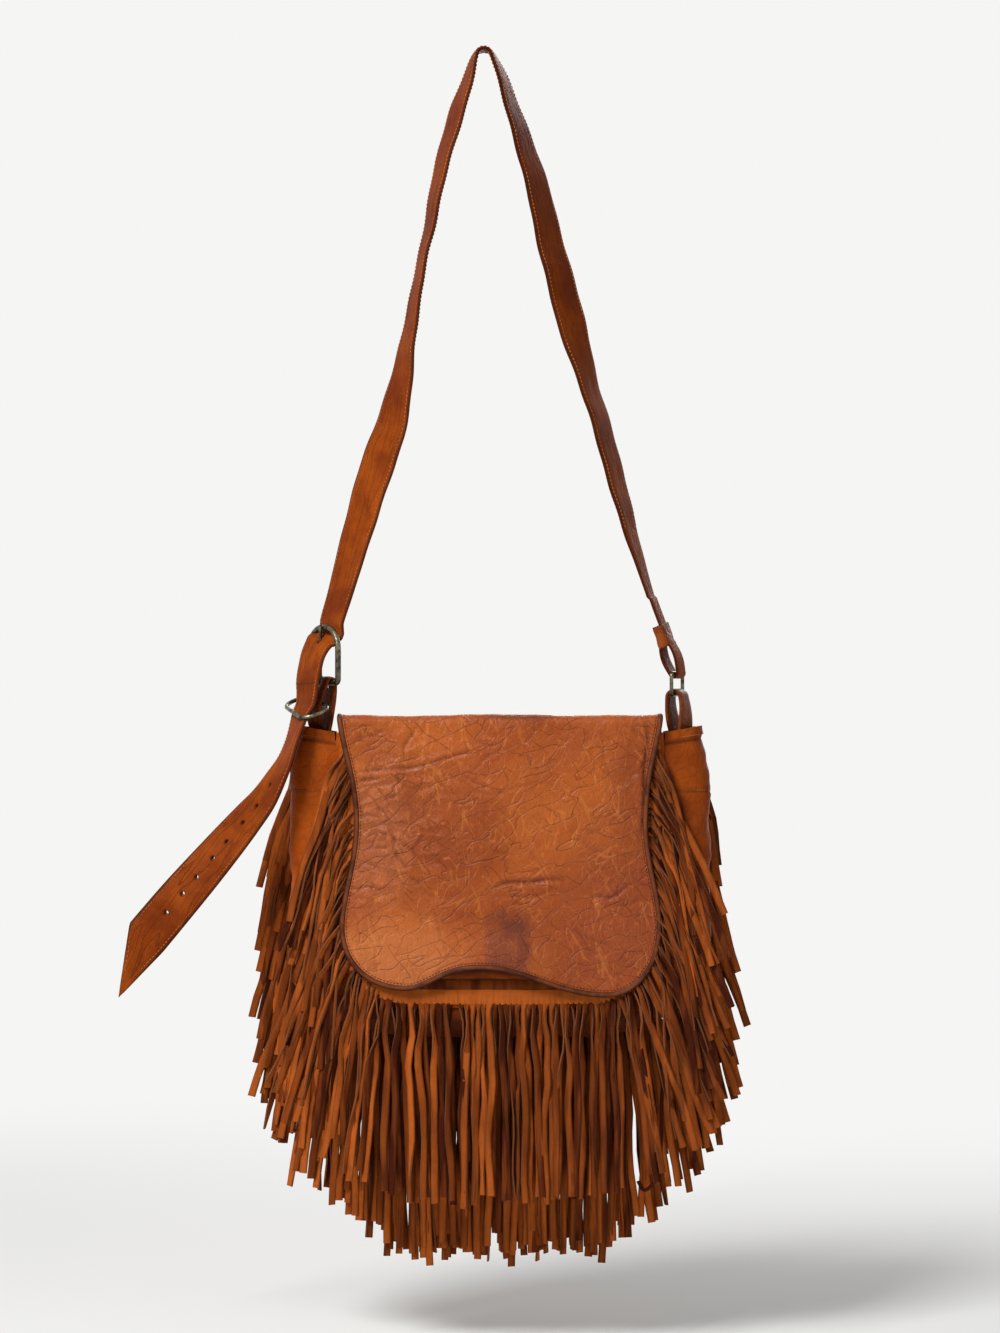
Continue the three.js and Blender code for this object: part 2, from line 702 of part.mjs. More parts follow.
// A strip folded round a bar, both plies running to one anchor.
// The plies leave the bend at its radius and close up towards the anchor.
function foldedStations(options) {
  const { centre, radius, anchor, across, anchorAcross, width, thick, bulge, turn } = options;
  const shortEnd = options.shortEnd ?? 1;
  const together = thick / 2 + PLY_GAP / 2;
  const down = anchor.clone().sub(centre);
  const stations = [];
  const ply = (share, sign) => {
    const w = across.clone().lerp(anchorAcross, smooth(share / TWIST_SHARE)).normalize();
    const normal = new THREE.Vector3().crossVectors(w, down).normalize().multiplyScalar(turn);
    const offset = mix(radius, together, smooth(share)) + bulge(share, sign);
    const middle = centre.clone().addScaledVector(down, share);
    return {
      centre: middle.addScaledVector(normal, sign * offset),
      across: w,
      normal: normal.clone().multiplyScalar(sign),
      low: -width / 2,
      high: width / 2,
      thick,
    };
  };
  const shares = [1, 0.78, 0.56, 0.36, 0.18];
  for (const share of shares) stations.push(ply(share * shortEnd, 1));
  const side = ply(0, 1).normal;
  const top = down.clone().normalize().negate();
  for (let i = 0; i <= 8; i++) {
    const angle = (i / 8) * Math.PI;
    const outward = side.clone().multiplyScalar(Math.cos(angle)).addScaledVector(top, Math.sin(angle));
    stations.push({
      centre: centre.clone().addScaledVector(outward, radius),
      across,
      normal: outward,
      low: -width / 2,
      high: width / 2,
      thick,
    });
  }
  for (const share of shares.toReversed()) stations.push(ply(share, -1));
  return stations;
}

// The bend's normal turns over on the far ply, so each ring keeps one order of corners.
const foldedStrip = (options) => band(foldedStations(options));

const tabSink = MOUTH_DROP + TAB_DEPTH / 2;

// A tab lies flat inside the gusset's fold, so its edges meet the fold's sides.
function tabInset(width) {
  const fold = Math.asin((width / 2 + PLY_GAP) / HALF_DEPTH);
  const room = GUSSET_TOP_BULGE * Math.cos(fold) ** GUSSET_ROUNDNESS - 1.3 * GUSSET_THICK;
  return PANEL_HALF_WIDTH + room - TAB_THICK - 2 * PLY_GAP;
}

function leftTab() {
  const tabLoop = BUCKLE_WIRE + RUNNING_GAP + TAB_THICK / 2;
  const strip = foldedStrip({
    centre: heel,
    radius: tabLoop,
    anchor: vec(-tabInset(LEFT_TAB_WIDTH), 0, -tabSink),
    across: buckleAcross,
    anchorAcross: forward,
    width: LEFT_TAB_WIDTH,
    thick: TAB_THICK,
    turn: -1,
    bulge: (share, sign) => (sign > 0 ? 6.4 : 1) * Math.sin(Math.PI * Math.min(1, share / TWIST_SHARE)),
  });
  const slotTop = tabLoop + TAB_THICK;
  const slotLow = -eyeRadius - RUNNING_GAP;
  const slot = new THREE.BoxGeometry(4 * tabLoop, slotTop - slotLow, PRONG_SLOT);
  return strip.subtract(placed(slot, inBuckle(0, (slotTop + slotLow) / 2), buckleFront, up));
}

function rightTab() {
  const arch = RING_WIRE + PLY_GAP + RING_SLACK + TAB_THICK / 2;
  return foldedStrip({
    centre: ringCentre.clone().addScaledVector(up, -RING_HALF_HEIGHT - RING_SLACK),
    radius: arch,
    anchor: vec(tabInset(RIGHT_TAB_WIDTH), 0, -tabSink),
    across: ringAcross,
    anchorAcross: forward,
    width: RIGHT_TAB_WIDTH,
    thick: TAB_THICK,
    turn: 1,
    bulge: (share) => 0.8 * Math.sin(Math.PI * share),
  });
}

// The strap's stations

// On each leg: share of the way down, sideways bow from the straight line, turn of its face.
const RIGHT_LEG = [
  [0.06, 4.5, 72],
  [0.17, 4.8, 60],
  [0.3, 1.9, 52],
  [0.43, -1.8, 47],
  [0.53, -1.6, 64],
  [0.66, -2.1, 64],
  [0.79, -3.7, 69],
  [0.88, -3.2, 75],
];
const LEFT_LEG = [
  [0.09, -4, 67],
  [0.22, -4, 72],
  [0.36, -0.5, 78],
  [0.5, 4.5, 70],
  [0.64, 8.6, 44],
  [0.71, 5.5, 36],
  [0.85, 2, 46],
  [0.95, 1, 54],
];

// Through the buckle: depth in front of the frame, height over the heel bar.
const THROUGH_BUCKLE = [
  [-7.9, 53],
  [-7.3, 43],
  [-2, 36.5],
  [4, 31],
  [10, 22.5],
  [14, 11],
  [17.3, 0],
];

// The tail: place from the heel bar in X, Y and Z, and turn of its face.
const TAIL = [
  [-14.6, -10.6, -10, 59],
  [-15.9, -12.5, -19, 64],
  [-20, -16.2, -29, 68],
  [-27, -23, -51, 74],
  [-34.2, -26, -71, 68],
  [-42.3, -27, -86.4, 60],
  [-53.6, -28, -105.3, 51],
  [-68.4, -28, -123.3, 42],
  [-99, -29, -159.3, 26],
  [-130, -30, -195.3, 12],
  [-158, -30, -228.6, 4],
  [-194.7, -30, -272.3, 0],
];

function controlPoints() {
  const points = [];
  const top = vec(0, 0, -HANG_RADIUS);
  const radius = HANG_RADIUS + STRAP_THICK / 2;
  const buckleTop = inBuckle(THROUGH_BUCKLE[0][0], THROUGH_BUCKLE[0][1]).add(bagPlace);
  const leg = (list, side, end) => {
    const start = vec(side * radius, 0, -HANG_RADIUS);
    return list.map(([share, bow, turn]) => ({
      at: start.clone().lerp(end, share).add(vec(bow, 0, 0)),
      turn,
    }));
  };
  points.push(...leg(RIGHT_LEG, 1, ringTop).toReversed());
  for (const angle of [10, 50, 90, 130, 170]) {
    const x = radius * Math.cos(angle * degrees);
    const z = radius * Math.sin(angle * degrees);
    points.push({ at: top.clone().add(vec(x, 0, z)), turn: 90 - 9 * Math.abs(Math.cos(angle * degrees)) });
  }
  points.push(...leg(LEFT_LEG, -1, buckleTop));
  for (const [n, t] of THROUGH_BUCKLE) {
    points.push({ at: inBuckle(n, t).add(bagPlace), turn: BUCKLE_TURN });
  }
  for (const [x, y, z, turn] of TAIL) {
    points.push({ at: heel.clone().add(bagPlace).add(vec(x, y, z)), turn });
  }
  return points;
}

// The strap's length is drawn through its control points on one smooth curve.
// Its face turns about the curve by the turn between the same points.
function strapStations() {
  const control = controlPoints();
  const curve = new THREE.CatmullRomCurve3(control.map((p) => p.at), false, "centripetal");
  const last = control.length - 1;
  const stations = [];
  for (let i = 0; i < last; i++) {
    const parts = control[i].at.distanceTo(control[i + 1].at) > 30 ? 2 : 1;
    for (let k = 0; k < parts; k++) {
      const share = k / parts;
      const t = (i + share) / last;
      stations.push(strapStation(curve, t, mix(control[i].turn, control[i + 1].turn, share)));
    }
  }
  stations.push(strapStation(curve, 1, control[last].turn));
  return stations;
}

function strapStation(curve, t, turn) {
  const centre = curve.getPoint(t);
  const ahead = curve.getPoint(Math.min(1, t + 0.002));
  const behind = curve.getPoint(Math.max(0, t - 0.002));
  const along = ahead.sub(behind).normalize();
  const inward = vec(-along.z, 0, along.x).normalize();
  const across = inward
    .multiplyScalar(Math.cos(turn * degrees))
    .addScaledVector(forward, Math.sin(turn * degrees));
  across.addScaledVector(along, -across.dot(along)).normalize();
  const normal = new THREE.Vector3().crossVectors(along, across).normalize();
  return { centre, across, normal, along, low: -STRAP_WIDTH / 2, high: STRAP_WIDTH / 2, thick: STRAP_THICK };
}

// Sets the widths: narrow at the ring, and cut to a long slanting point at the tail.
function shapeStrap(stations) {
  let length = 0;
  stations.forEach((station, i) => {
    if (i) length += station.centre.distanceTo(stations[i - 1].centre);
    station.length = length;
  });
  const taper = 110;
  for (const station of stations) {
    const narrow = 1 - smooth(station.length / taper);
    station.high = mix(STRAP_WIDTH, STRAP_END_WIDTH, narrow) / 2;
    station.low = -station.high;
    station.thick = mix(STRAP_THICK, STRAP_END_THICK, narrow);
    const toTip = length - station.length;
    if (toTip < TIP_LENGTH) {
      const cut = 1 - toTip / TIP_LENGTH;
      station.low = mix(-STRAP_WIDTH / 2, STRAP_WIDTH / 2 - 5, cut);
      station.high = STRAP_WIDTH / 2 - 4 * cut;
    }
  }
  return stations;
}

// The strap's right end goes round the ring's top bar and back up under the wrap.
const ringTop = ringCentre.clone().addScaledVector(up, RING_HALF_HEIGHT).add(bagPlace);

function ringEndStations(first) {
  return foldedStations({
    centre: ringTop,
    radius: RING_WIRE + RUNNING_GAP + STRAP_END_THICK / 2,
    anchor: first.centre.clone(),
    across: ringAcross,
    anchorAcross: first.across,
    width: STRAP_END_WIDTH,
    thick: STRAP_END_THICK,
    turn: 1,
    shortEnd: WRAP_TOP / first.centre.distanceTo(ringTop),
    bulge: () => 0,
  });
}

// A tapered slot lets the prong through the strap and leaves it room to swing.
function prongSlot() {
  const tip = BUCKLE_HEIGHT + PRONG_OVERHANG;
  const low = prongRest - PRONG_RADIUS - RUNNING_GAP;
  const high = prongRest + PRONG_RADIUS + RUNNING_GAP;
  const swing = Math.tan(PRONG_SWING * degrees);
  const shape = new THREE.Shape();
  shape.moveTo(low, 5);
  shape.lineTo(high + 5 * swing, 5);
  shape.lineTo(high + tip * swing, tip);
  shape.lineTo(low, tip);
  const width = 2 * (PRONG_RADIUS + RUNNING_GAP);
  const wedge = new THREE.ExtrudeGeometry(shape, { depth: width, bevelEnabled: false });
  wedge.translate(0, 0, -width / 2);
  const centre = heel.clone().add(bagPlace);
  return placed(wedge, centre, buckleFront, up);
}

// The tail's holes, a pitch apart along its middle.
function tailHoles(stations) {
  const end = stations.at(-1).length - TAIL_END;
  const holes = [];
  for (let i = 0; i < HOLE_COUNT; i++) {
    const at = end - (HOLE_COUNT - 1 - i) * HOLE_PITCH;
    const next = stations.findIndex((station) => station.length > at);
    const [a, b] = [stations[next - 1], stations[next]];
    const share = (at - a.length) / (b.length - a.length);
    const centre = a.centre.clone().lerp(b.centre, share);
    const punch = new THREE.CylinderGeometry(HOLE_RADIUS, HOLE_RADIUS, 3 * STRAP_THICK, 6);
    holes.push(placed(punch, centre, b.across, b.normal));
  }
  return holes;
}

function strap() {
  const main = shapeStrap(strapStations());
  const whole = band([...ringEndStations(main[0]), ...main.slice(1)]);
  return whole.subtract(wasm.Manifold.union([prongSlot(), ...tailHoles(main)]));
}

// The wrap is a flat tube round both plies, above the ring.
function strapWrap() {
  const first = shapeStrap(strapStations())[0];
  const along = first.centre.clone().sub(ringTop).normalize();
  const share = (WRAP_TOP - WRAP_HEIGHT / 2) / first.centre.distanceTo(ringTop);
  const across = ringAcross.clone().lerp(first.across, smooth(share));
  across.addScaledVector(along, -across.dot(along)).normalize();
  const bend = RING_WIRE + RUNNING_GAP + STRAP_END_THICK / 2;
  const together = (STRAP_END_THICK + PLY_GAP) / 2;
  const lowShare = (WRAP_TOP - WRAP_HEIGHT) / first.centre.distanceTo(ringTop);
  const spread = mix(bend, together, smooth(lowShare));
  const innerDepth = 2 * spread + STRAP_END_THICK + 2 * PLY_GAP;
  const innerWidth = STRAP_END_WIDTH + 1 + 2 * PLY_GAP;
  const centre = ringTop.clone().lerp(first.centre, share);
  const tube = new THREE.BoxGeometry(innerWidth + 2 * WRAP_THICK, WRAP_HEIGHT, innerDepth + 2 * WRAP_THICK);
  const bore = new THREE.BoxGeometry(innerWidth, WRAP_HEIGHT + 2, innerDepth);
  return placed(tube, centre, across, along).subtract(placed(bore, centre, across, along));
}

const root = new THREE.Group();
const bag = new THREE.Group();
bag.position.copy(bagPlace);
root.add(bag);

function addPiece(group, name, solidOrGeometry, finish) {
  const geometry = solidOrGeometry.isBufferGeometry ? solidOrGeometry : geometryFromSolid(solidOrGeometry);
  const mesh = new THREE.Mesh(geometry, new THREE.MeshStandardMaterial(FINISH[finish]));
  mesh.name = name;
  group.add(mesh);
}

const flat = () => 0;
const joint = frontSeam.side + frontSeam.arc + (PANEL_HALF_WIDTH - CORNER_RADIUS) + BAND_JOINT;
const fringeStart = FRINGE_TOP_DROP - MOUTH_DROP;
const frontEnd = frontSeam.length - fringeStart;
const backEnd = backSeam.length - fringeStart;

addPiece(bag, "front_panel", panel(MOUTH_DROP, FRONT_DROP, MOUTH_DROP, -1, belly), "body");
addPiece(bag, "back_panel", panel(BACK_TOP_DROP, BACK_DROP, MOUTH_DROP, 1, flat), "body");
addPiece(bag, "gusset", gusset(), "body");
addPiece(
  bag,
  "front_fringe_left",
  fringe(frontSeam, -1, fringeStart, joint - PLY_GAP, FRONT_FRINGE),
  "suede",
);
addPiece(
  bag,
  "front_fringe_right",
  fringe(frontSeam, -1, joint, frontEnd, FRONT_FRINGE),
  "suede",
);
addPiece(bag, "back_fringe", fringe(backSeam, 1, fringeStart, backEnd, BACK_FRINGE), "suede");
addPiece(bag, "flap_leather", flapLeather(), "flap");
addPiece(bag, "flap_lining", flapLining(), "lining");
addPiece(bag, "flap_binding", flapBinding(), "edge");
addPiece(bag, "snap_socket", snapDisc(socketDepth), "brass");
addPiece(bag, "snap_stud", snapDisc(studDepth), "brass");
addPiece(bag, "left_tab", leftTab(), "strap");
addPiece(bag, "right_tab", rightTab(), "strap");
addPiece(bag, "buckle_frame", buckleFrame(), "brass");
addPiece(bag, "buckle_prong", buckleProng(), "brass");
addPiece(bag, "keeper_loop", keeperLoop(), "brass");
addPiece(bag, "ring", ring(), "brass");
addPiece(root, "strap", strap(), "strap");
addPiece(root, "strap_wrap", strapWrap(), "strap");

export default root;
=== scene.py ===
import math
from functools import partial

import bmesh
import bpy
import numpy as np
from bpy.props import FloatProperty, PointerProperty, StringProperty
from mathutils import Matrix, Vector

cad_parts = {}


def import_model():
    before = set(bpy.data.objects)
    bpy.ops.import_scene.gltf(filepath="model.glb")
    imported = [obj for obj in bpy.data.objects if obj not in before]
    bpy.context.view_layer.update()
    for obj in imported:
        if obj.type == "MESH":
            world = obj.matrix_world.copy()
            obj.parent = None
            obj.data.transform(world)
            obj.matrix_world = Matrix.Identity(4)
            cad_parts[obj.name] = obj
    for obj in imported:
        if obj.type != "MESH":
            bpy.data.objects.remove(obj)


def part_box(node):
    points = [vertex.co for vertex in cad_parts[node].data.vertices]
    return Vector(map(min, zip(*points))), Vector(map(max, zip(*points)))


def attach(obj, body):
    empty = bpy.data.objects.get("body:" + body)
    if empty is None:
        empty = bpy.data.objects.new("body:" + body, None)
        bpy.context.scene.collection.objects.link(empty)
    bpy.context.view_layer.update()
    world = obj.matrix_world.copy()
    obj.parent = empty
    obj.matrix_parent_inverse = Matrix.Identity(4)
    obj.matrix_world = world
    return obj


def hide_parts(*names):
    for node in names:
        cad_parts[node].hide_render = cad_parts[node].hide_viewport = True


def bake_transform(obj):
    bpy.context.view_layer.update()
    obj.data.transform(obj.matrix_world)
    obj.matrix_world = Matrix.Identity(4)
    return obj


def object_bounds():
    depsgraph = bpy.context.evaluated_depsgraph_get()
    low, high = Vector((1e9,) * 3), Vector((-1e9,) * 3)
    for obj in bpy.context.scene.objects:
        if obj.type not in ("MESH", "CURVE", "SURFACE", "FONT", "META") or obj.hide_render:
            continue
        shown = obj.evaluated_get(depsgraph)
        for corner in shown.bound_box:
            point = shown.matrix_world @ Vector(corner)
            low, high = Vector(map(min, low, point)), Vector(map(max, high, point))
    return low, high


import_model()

bl_info = {
    "name": "Fringed suede bag",
    "version": (1, 0, 0),
    "blender": (4, 5, 0),
    "location": "3D View > Sidebar > Bag",
    "description": "Dresses the packed bag: leather, suede fringe, stitching and aged brass",
    "category": "Object",
}

# The frame is in metres, and the sizes below are written in millimetres times MM.
MM = 0.001
CAD_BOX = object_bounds()
UP = np.array([0, 0, 1.0])
FORWARD = np.array([0, -1.0, 0])

# Places taken from the frame: the body's middle, half width and top
PANEL_LOW, PANEL_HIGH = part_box("front_panel")
MIDDLE = (PANEL_LOW.x + PANEL_HIGH.x) / 2
HALF_WIDTH = (PANEL_HIGH.x - PANEL_LOW.x) / 2
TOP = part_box("flap_leather")[1].z
PANEL_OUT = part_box("back_panel")[1].y
HALF_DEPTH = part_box("gusset")[1].y

# Body: drops are below its top, and a seam's corner is a quarter circle
MOUTH_DROP = TOP - PANEL_HIGH.z
FRONT_DROP = 261 * MM
BACK_DROP = 279 * MM
CORNER = 62 * MM
SAG = 3 * MM
BELLY = 8 * MM
BAND = 13 * MM
PANEL_THICK = 2 * MM
GAP = 0.3 * MM


# Small sums that work on whole arrays


def smooth(t):
    """The smooth step: 0 below 0, 1 above 1, and 3 t squared less 2 t cubed between."""
    t = np.clip(t, 0, 1)
    return t * t * (3 - 2 * t)


def mix(a, b, t):
    """From a to b by a share t."""
    return a + (b - a) * t


def unit(v):
    """Directions of length 1."""
    return v / np.linalg.norm(v, axis=-1, keepdims=True)


def bump(distance, width):
    """A round hill: 1 at distance 0, falling as e to the minus (distance over width) squared."""
    return np.exp(-((distance / width) ** 2))


def ripple(x, y, seed, wave, octaves=3):
    """A smooth uneven height from -1 to 1: a sum of sine waves in random directions,
    each octave with half the wave length and half the height of the one before."""
    waves = np.random.default_rng(seed)
    total, height, sum_heights = 0, 1.0, 0.0
    for _ in range(octaves):
        for angle, phase in waves.uniform(0, 2 * np.pi, (3, 2)):
            along = x * math.cos(angle) + y * math.sin(angle)
            total = total + height * np.sin(2 * np.pi * along / wave + phase)
        sum_heights += 3 * height
        wave, height = wave / 2, height / 2
    return total / sum_heights * 1.6


def lengths(points):
    """The length along a line of points up to each of them."""
    return np.concatenate([[0], np.cumsum(np.linalg.norm(np.diff(points, axis=0), axis=1))])


def resample(points, count):
    """Points at even lengths along a line of points."""
    length = lengths(points)
    at = np.linspace(0, length[-1], count)
    return np.stack([np.interp(at, length, points[:, k]) for k in range(points.shape[1])], 1)


def bezier(points, count=24):
    """A cubic curve by its four points, weighted by the terms of (1 - t + t) cubed."""
    t = np.linspace(0, 1, count)[:, None]
    p = np.asarray(points, float)
    return (1 - t) ** 3 * p[0] + 3 * (1 - t) ** 2 * t * p[1] + 3 * (1 - t) * t**2 * p[2] + t**3 * p[3]


def centripetal(points, at):
    """A smooth curve through points: on each stretch a cubic whose end slopes come from the
    neighbouring points, with each stretch weighted by the square root of its length."""
    padded = np.concatenate([[2 * points[0] - points[1]], points, [2 * points[-1] - points[-2]]])
    i = np.clip(np.floor(at).astype(int), 0, len(points) - 2)
    w = (at - i)[:, None]
    p0, p1, p2, p3 = (padded[i + k] for k in range(4))
    steps = (p1 - p0, p2 - p1, p3 - p2)
    d0, d1, d2 = (np.sqrt(np.linalg.norm(step, axis=1, keepdims=True)) for step in steps)
    slope1 = ((p1 - p0) / d0 - (p2 - p0) / (d0 + d1) + (p2 - p1) / d1) * d1
    slope2 = ((p2 - p1) / d1 - (p3 - p1) / (d1 + d2) + (p3 - p2) / d2) * d1
    cubic = 2 * p1 - 2 * p2 + slope1 + slope2
    square = -3 * p1 + 3 * p2 - 2 * slope1 - slope2
    return p1 + slope1 * w + square * w**2 + cubic * w**3


# Meshes


def grid_quads(rows, columns, close_rows=False, close_columns=False, start=0):
    """Each quad joins a point of a grid to the next in its row and to the same two in the next row."""
    r, c = np.meshgrid(
        np.arange(rows if close_rows else rows - 1),
        np.arange(columns if close_columns else columns - 1),
        indexing="ij",
    )
    below, right = (r + 1) % rows, (c + 1) % columns
    quads = [r * columns + c, r * columns + right, below * columns + right, below * columns + c]
    return np.stack(quads, -1).reshape(-1, 4) + start


def end_faces(rows, columns):
    """The two faces that close a tube, whose rows are rings of points."""
    ring = np.arange(columns)[None]
    return [ring, ring + (rows - 1) * columns]


def piece(name, points, faces, material, slot, body, uv=None, values=None, face_values=None, sharp=35):
    """A mesh from an array of points and arrays of faces, with its UV map, named values per point
    and per face, faces pointing out, and edges sharper than an angle kept sharp. It rides on a body."""
    mesh = bpy.data.meshes.new(name)
    points = np.asarray(points, np.float32).reshape(-1, 3)
    loops = np.concatenate([f.ravel() for f in faces]).astype(np.int32)
    sizes = np.concatenate([np.full(len(f), f.shape[1]) for f in faces])
    mesh.vertices.add(len(points))
    mesh.vertices.foreach_set("co", points.ravel())
    mesh.loops.add(len(loops))
    mesh.loops.foreach_set("vertex_index", loops)
    mesh.polygons.add(len(sizes))
    mesh.polygons.foreach_set("loop_start", (np.cumsum(sizes) - sizes).astype(np.int32))
    mesh.update(calc_edges=True)
    if uv is not None:
        layer = mesh.uv_layers.new(name="Pattern")
        layer.data.foreach_set("uv", np.asarray(uv, np.float32).reshape(-1, 2)[loops].ravel())
    for domain, named in (("POINT", values or {}), ("FACE", face_values or {})):
        for key, value in named.items():
            data = mesh.attributes.new(key, "FLOAT", domain).data
            data.foreach_set("value", np.asarray(value, np.float32).ravel())
    work = bmesh.new()
    work.from_mesh(mesh)
    bmesh.ops.recalc_face_normals(work, faces=work.faces)
    work.to_mesh(mesh)
    work.free()
    mesh.polygons.foreach_set("use_smooth", np.ones(len(mesh.polygons), bool))
    mesh.set_sharp_from_angle(angle=math.radians(sharp))
    if mesh.validate():
        raise RuntimeError(f"{name} has a face that isn't right")
    made = bpy.data.objects.new(name, mesh)
    bpy.context.scene.collection.objects.link(made)
    made.data.materials.append(material)
    if body:
        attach(made, body)
    return made


def grid_normals(points):
    """The direction across a grid of points: the cross product of its two differences."""
    return unit(np.cross(np.gradient(points, axis=1), np.gradient(points, axis=0)))


def slab(outer, inner):
    """A closed sheet between two grids of points, as points and faces."""
    rows, columns = outer.shape[:2]
    count = rows * columns
    rim = np.concatenate([
        np.arange(columns),
        np.arange(1, rows) * columns + columns - 1,
        count - 2 - np.arange(columns - 1),
        np.arange(rows - 2, 0, -1) * columns,
    ])
    after = np.roll(rim, -1)
    side = np.stack([rim, after, after + count, rim + count], 1)
    faces = np.concatenate([grid_quads(rows, columns), grid_quads(rows, columns, start=count), side])
    return np.concatenate([outer.reshape(-1, 3), inner.reshape(-1, 3)]), [faces]


def carried(centres, across, normal, profile, closed=False):
    """A closed profile carried along a path: centre + profile x times across + profile y times normal.
    The profile is one list of points, or one for each place on the path."""
    centres, across, normal = (np.asarray(a, float)[:, None, :] for a in (centres, across, normal))
    profile = np.asarray(profile, float)
    profile = profile if profile.ndim == 3 else profile[None]
    points = centres + across * profile[..., 0:1] + normal * profile[..., 1:2]
    rows, columns = points.shape[:2]
    faces = [grid_quads(rows, columns, close_rows=closed, close_columns=True)]
    return points, faces if closed else faces + end_faces(rows, columns)


def strip_profile(half_width, thick, groove=0.0, columns=15):
    """A leather strip's section: a flat face with rounded edges, where the height falls off
    as the square root of 1 less the eighth power of the place across, and with stitched grooves."""
    place = -np.cos(np.linspace(0, np.pi, columns))
    height = np.sqrt(1 - place**8)
    stitch_line = 1 - 3.2 * MM / half_width
    height = height * (1 - groove * bump(np.abs(place) - stitch_line, 0.07))
    top = np.stack([place * half_width, height * thick / 2], 1)
    under = np.stack([place * half_width, -height * thick / 2], 1)[1:-1][::-1]
    return np.concatenate([top, under])


def turned(radius, points):
    """A round section as a profile."""
    angle = np.linspace(0, 2 * np.pi, points, endpoint=False)
    return np.stack([radius * np.cos(angle), radius * np.sin(angle)], 1)


def wire(path, radius, plane, closed, points):
    """A round wire along a path that lies in a plane: its section turns with the path."""
    if closed:
        along = unit(np.roll(path, -1, 0) - np.roll(path, 1, 0))
    else:
        along = unit(np.gradient(path, axis=0))
    plane = np.broadcast_to(plane, path.shape)
    return carried(path, np.cross(along, plane), plane, turned(radius, points), closed)


def copies(template, faces, places, frames):
    """One small mesh set at many places: each point is place + its x, y and z along the frame's rows."""
    points = places[:, None, :] + np.einsum("kj,njc->nkc", template, frames)
    shift = np.arange(len(places))[:, None, None] * len(template)
    return points, [(f[None] + shift).reshape(-1, f.shape[1]) for f in faces]


def stitches(name, places, along, normal, body, thread="thread", size_mm=(2.6, 0.8, 0.45)):
    """A row of thread stitches: small rods of a length, width and height that dip into the leather
    at both ends."""
    length, width, height = (value * MM for value in size_mm)
    angle = np.linspace(0, 2 * np.pi, 6, endpoint=False)
    rings = []
    # Along the stitch, thickness and height of its middle, as shares
    for share, size, sink in ((-0.5, 0.45, -0.5), (-0.25, 1, 0.1), (0.25, 1, 0.1), (0.5, 0.45, -0.5)):
        across, up = width / 2 * size * np.cos(angle), height * (sink + size * np.sin(angle))
        rings.append(np.stack([np.full(6, share * length), across, up], 1))
    template = np.concatenate(rings)
    faces = [grid_quads(4, 6, close_columns=True), *end_faces(4, 6)]
    frames = np.stack([along, np.cross(normal, along), normal], 1)
    points, faces = copies(template, faces, places, frames)
    return piece(name, points, faces, MATERIALS[thread], "edge_binding", body, sharp=60)


# Materials


def colour(code):
    """The linear colour of an sRGB hex value."""
    channels = [int(code[i : i + 2], 16) / 255 for i in (1, 3, 5)]
    return [c / 12.92 if c <= 0.04045 else ((c + 0.055) / 1.055) ** 2.4 for c in channels] + [1]


def feed(tree, made, inputs):
    """Gives a node its inputs, by name or in order: a value, a socket, or a node's first output."""
    for key, value in inputs.items() if isinstance(inputs, dict) else enumerate(inputs):
        if isinstance(value, bpy.types.Node):
            value = value.outputs[0]
        if isinstance(value, bpy.types.NodeSocket):
            tree.links.new(value, made.inputs[key])
        else:
            made.inputs[key].default_value = value


def node(tree, kind, inputs=(), **settings):
    """Adds one node with its settings and its inputs. Below, add is this for one tree."""
    made = tree.nodes.new(f"ShaderNode{kind}")
    for key, value in settings.items():
        setattr(made, key, value)
    feed(tree, made, inputs)
    return made


def sized(place, size, detail=3.0, roughness=0.5):
    """The inputs of a noise whose features are about a size in mm across."""
    return {"Vector": place, "Scale": 1 / (size * MM), "Detail": detail, "Roughness": roughness}


def span(value, low, high, new_low=0.0, new_high=1.0):
    """The inputs that carry a value from one range to another."""
    return {"Value": value, "From Min": low, "From Max": high, "To Min": new_low, "To Max": new_high}


SMOOTHLY = {"interpolation_type": "SMOOTHSTEP"}


def painted(add, base, *layers):
    """Colours laid over one another. Each layer is a mask, its share and its colour, and
    a mask of several values is first carried smoothly from one range to another."""
    for mask, share, code in layers:
        if isinstance(mask, tuple):
            mask = add("MapRange", span(*mask), **SMOOTHLY)
        amount = add("Math", (mask, share), operation="MULTIPLY")
        base = add("Mix", {0: amount, 6: base, 7: colour(code)}, data_type="RGBA").outputs[2]
    return base


def relief(add, *layers):
    """Chains bump nodes, each a height and how many mm it stands for."""
    below = {}
    for height, depth in layers:
        bump_node = add("Bump", {"Height": height, "Distance": depth * MM, "Strength": 1.0, **below})
        below = {"Normal": bump_node}
    return bump_node


def pattern_place(add, source, warp=0, size=30, detail=5.0):
    """Coordinates in metres, of the leather laid flat or of the object. They may be pushed about
    by up to a warp in mm, with a noise of a size in mm."""
    place = add("UVMap", uv_map="Pattern") if source == "flat" else add("TexCoord").outputs["Object"]
    if not warp:
        return place
    noise = add("TexNoise", {"Vector": place, "Scale": 1 / (size * MM), "Detail": detail})
    centred = add("VectorMath", (noise.outputs["Color"], (0.5, 0.5, 0.5)), operation="SUBTRACT")
    scaled = add("VectorMath", {0: centred, "Scale": 2 * warp * MM}, operation="SCALE")
    return add("VectorMath", (place, scaled), operation="ADD")


def creases(add, place, size, width, stretch, turn=0.5):
    """Lines between cells of a size in mm: 1 on a line, 0 a share of a cell away from it."""
    turned_place = add("Mapping", {"Vector": place, "Scale": stretch, "Rotation": (0, 0, turn)})
    values = {"Vector": turned_place, "Scale": 1 / (size * MM)}
    cells = add("TexVoronoi", values, feature="DISTANCE_TO_EDGE")
    return add("MapRange", span(cells.outputs["Distance"], 0, width, 1, 0), **SMOOTHLY)


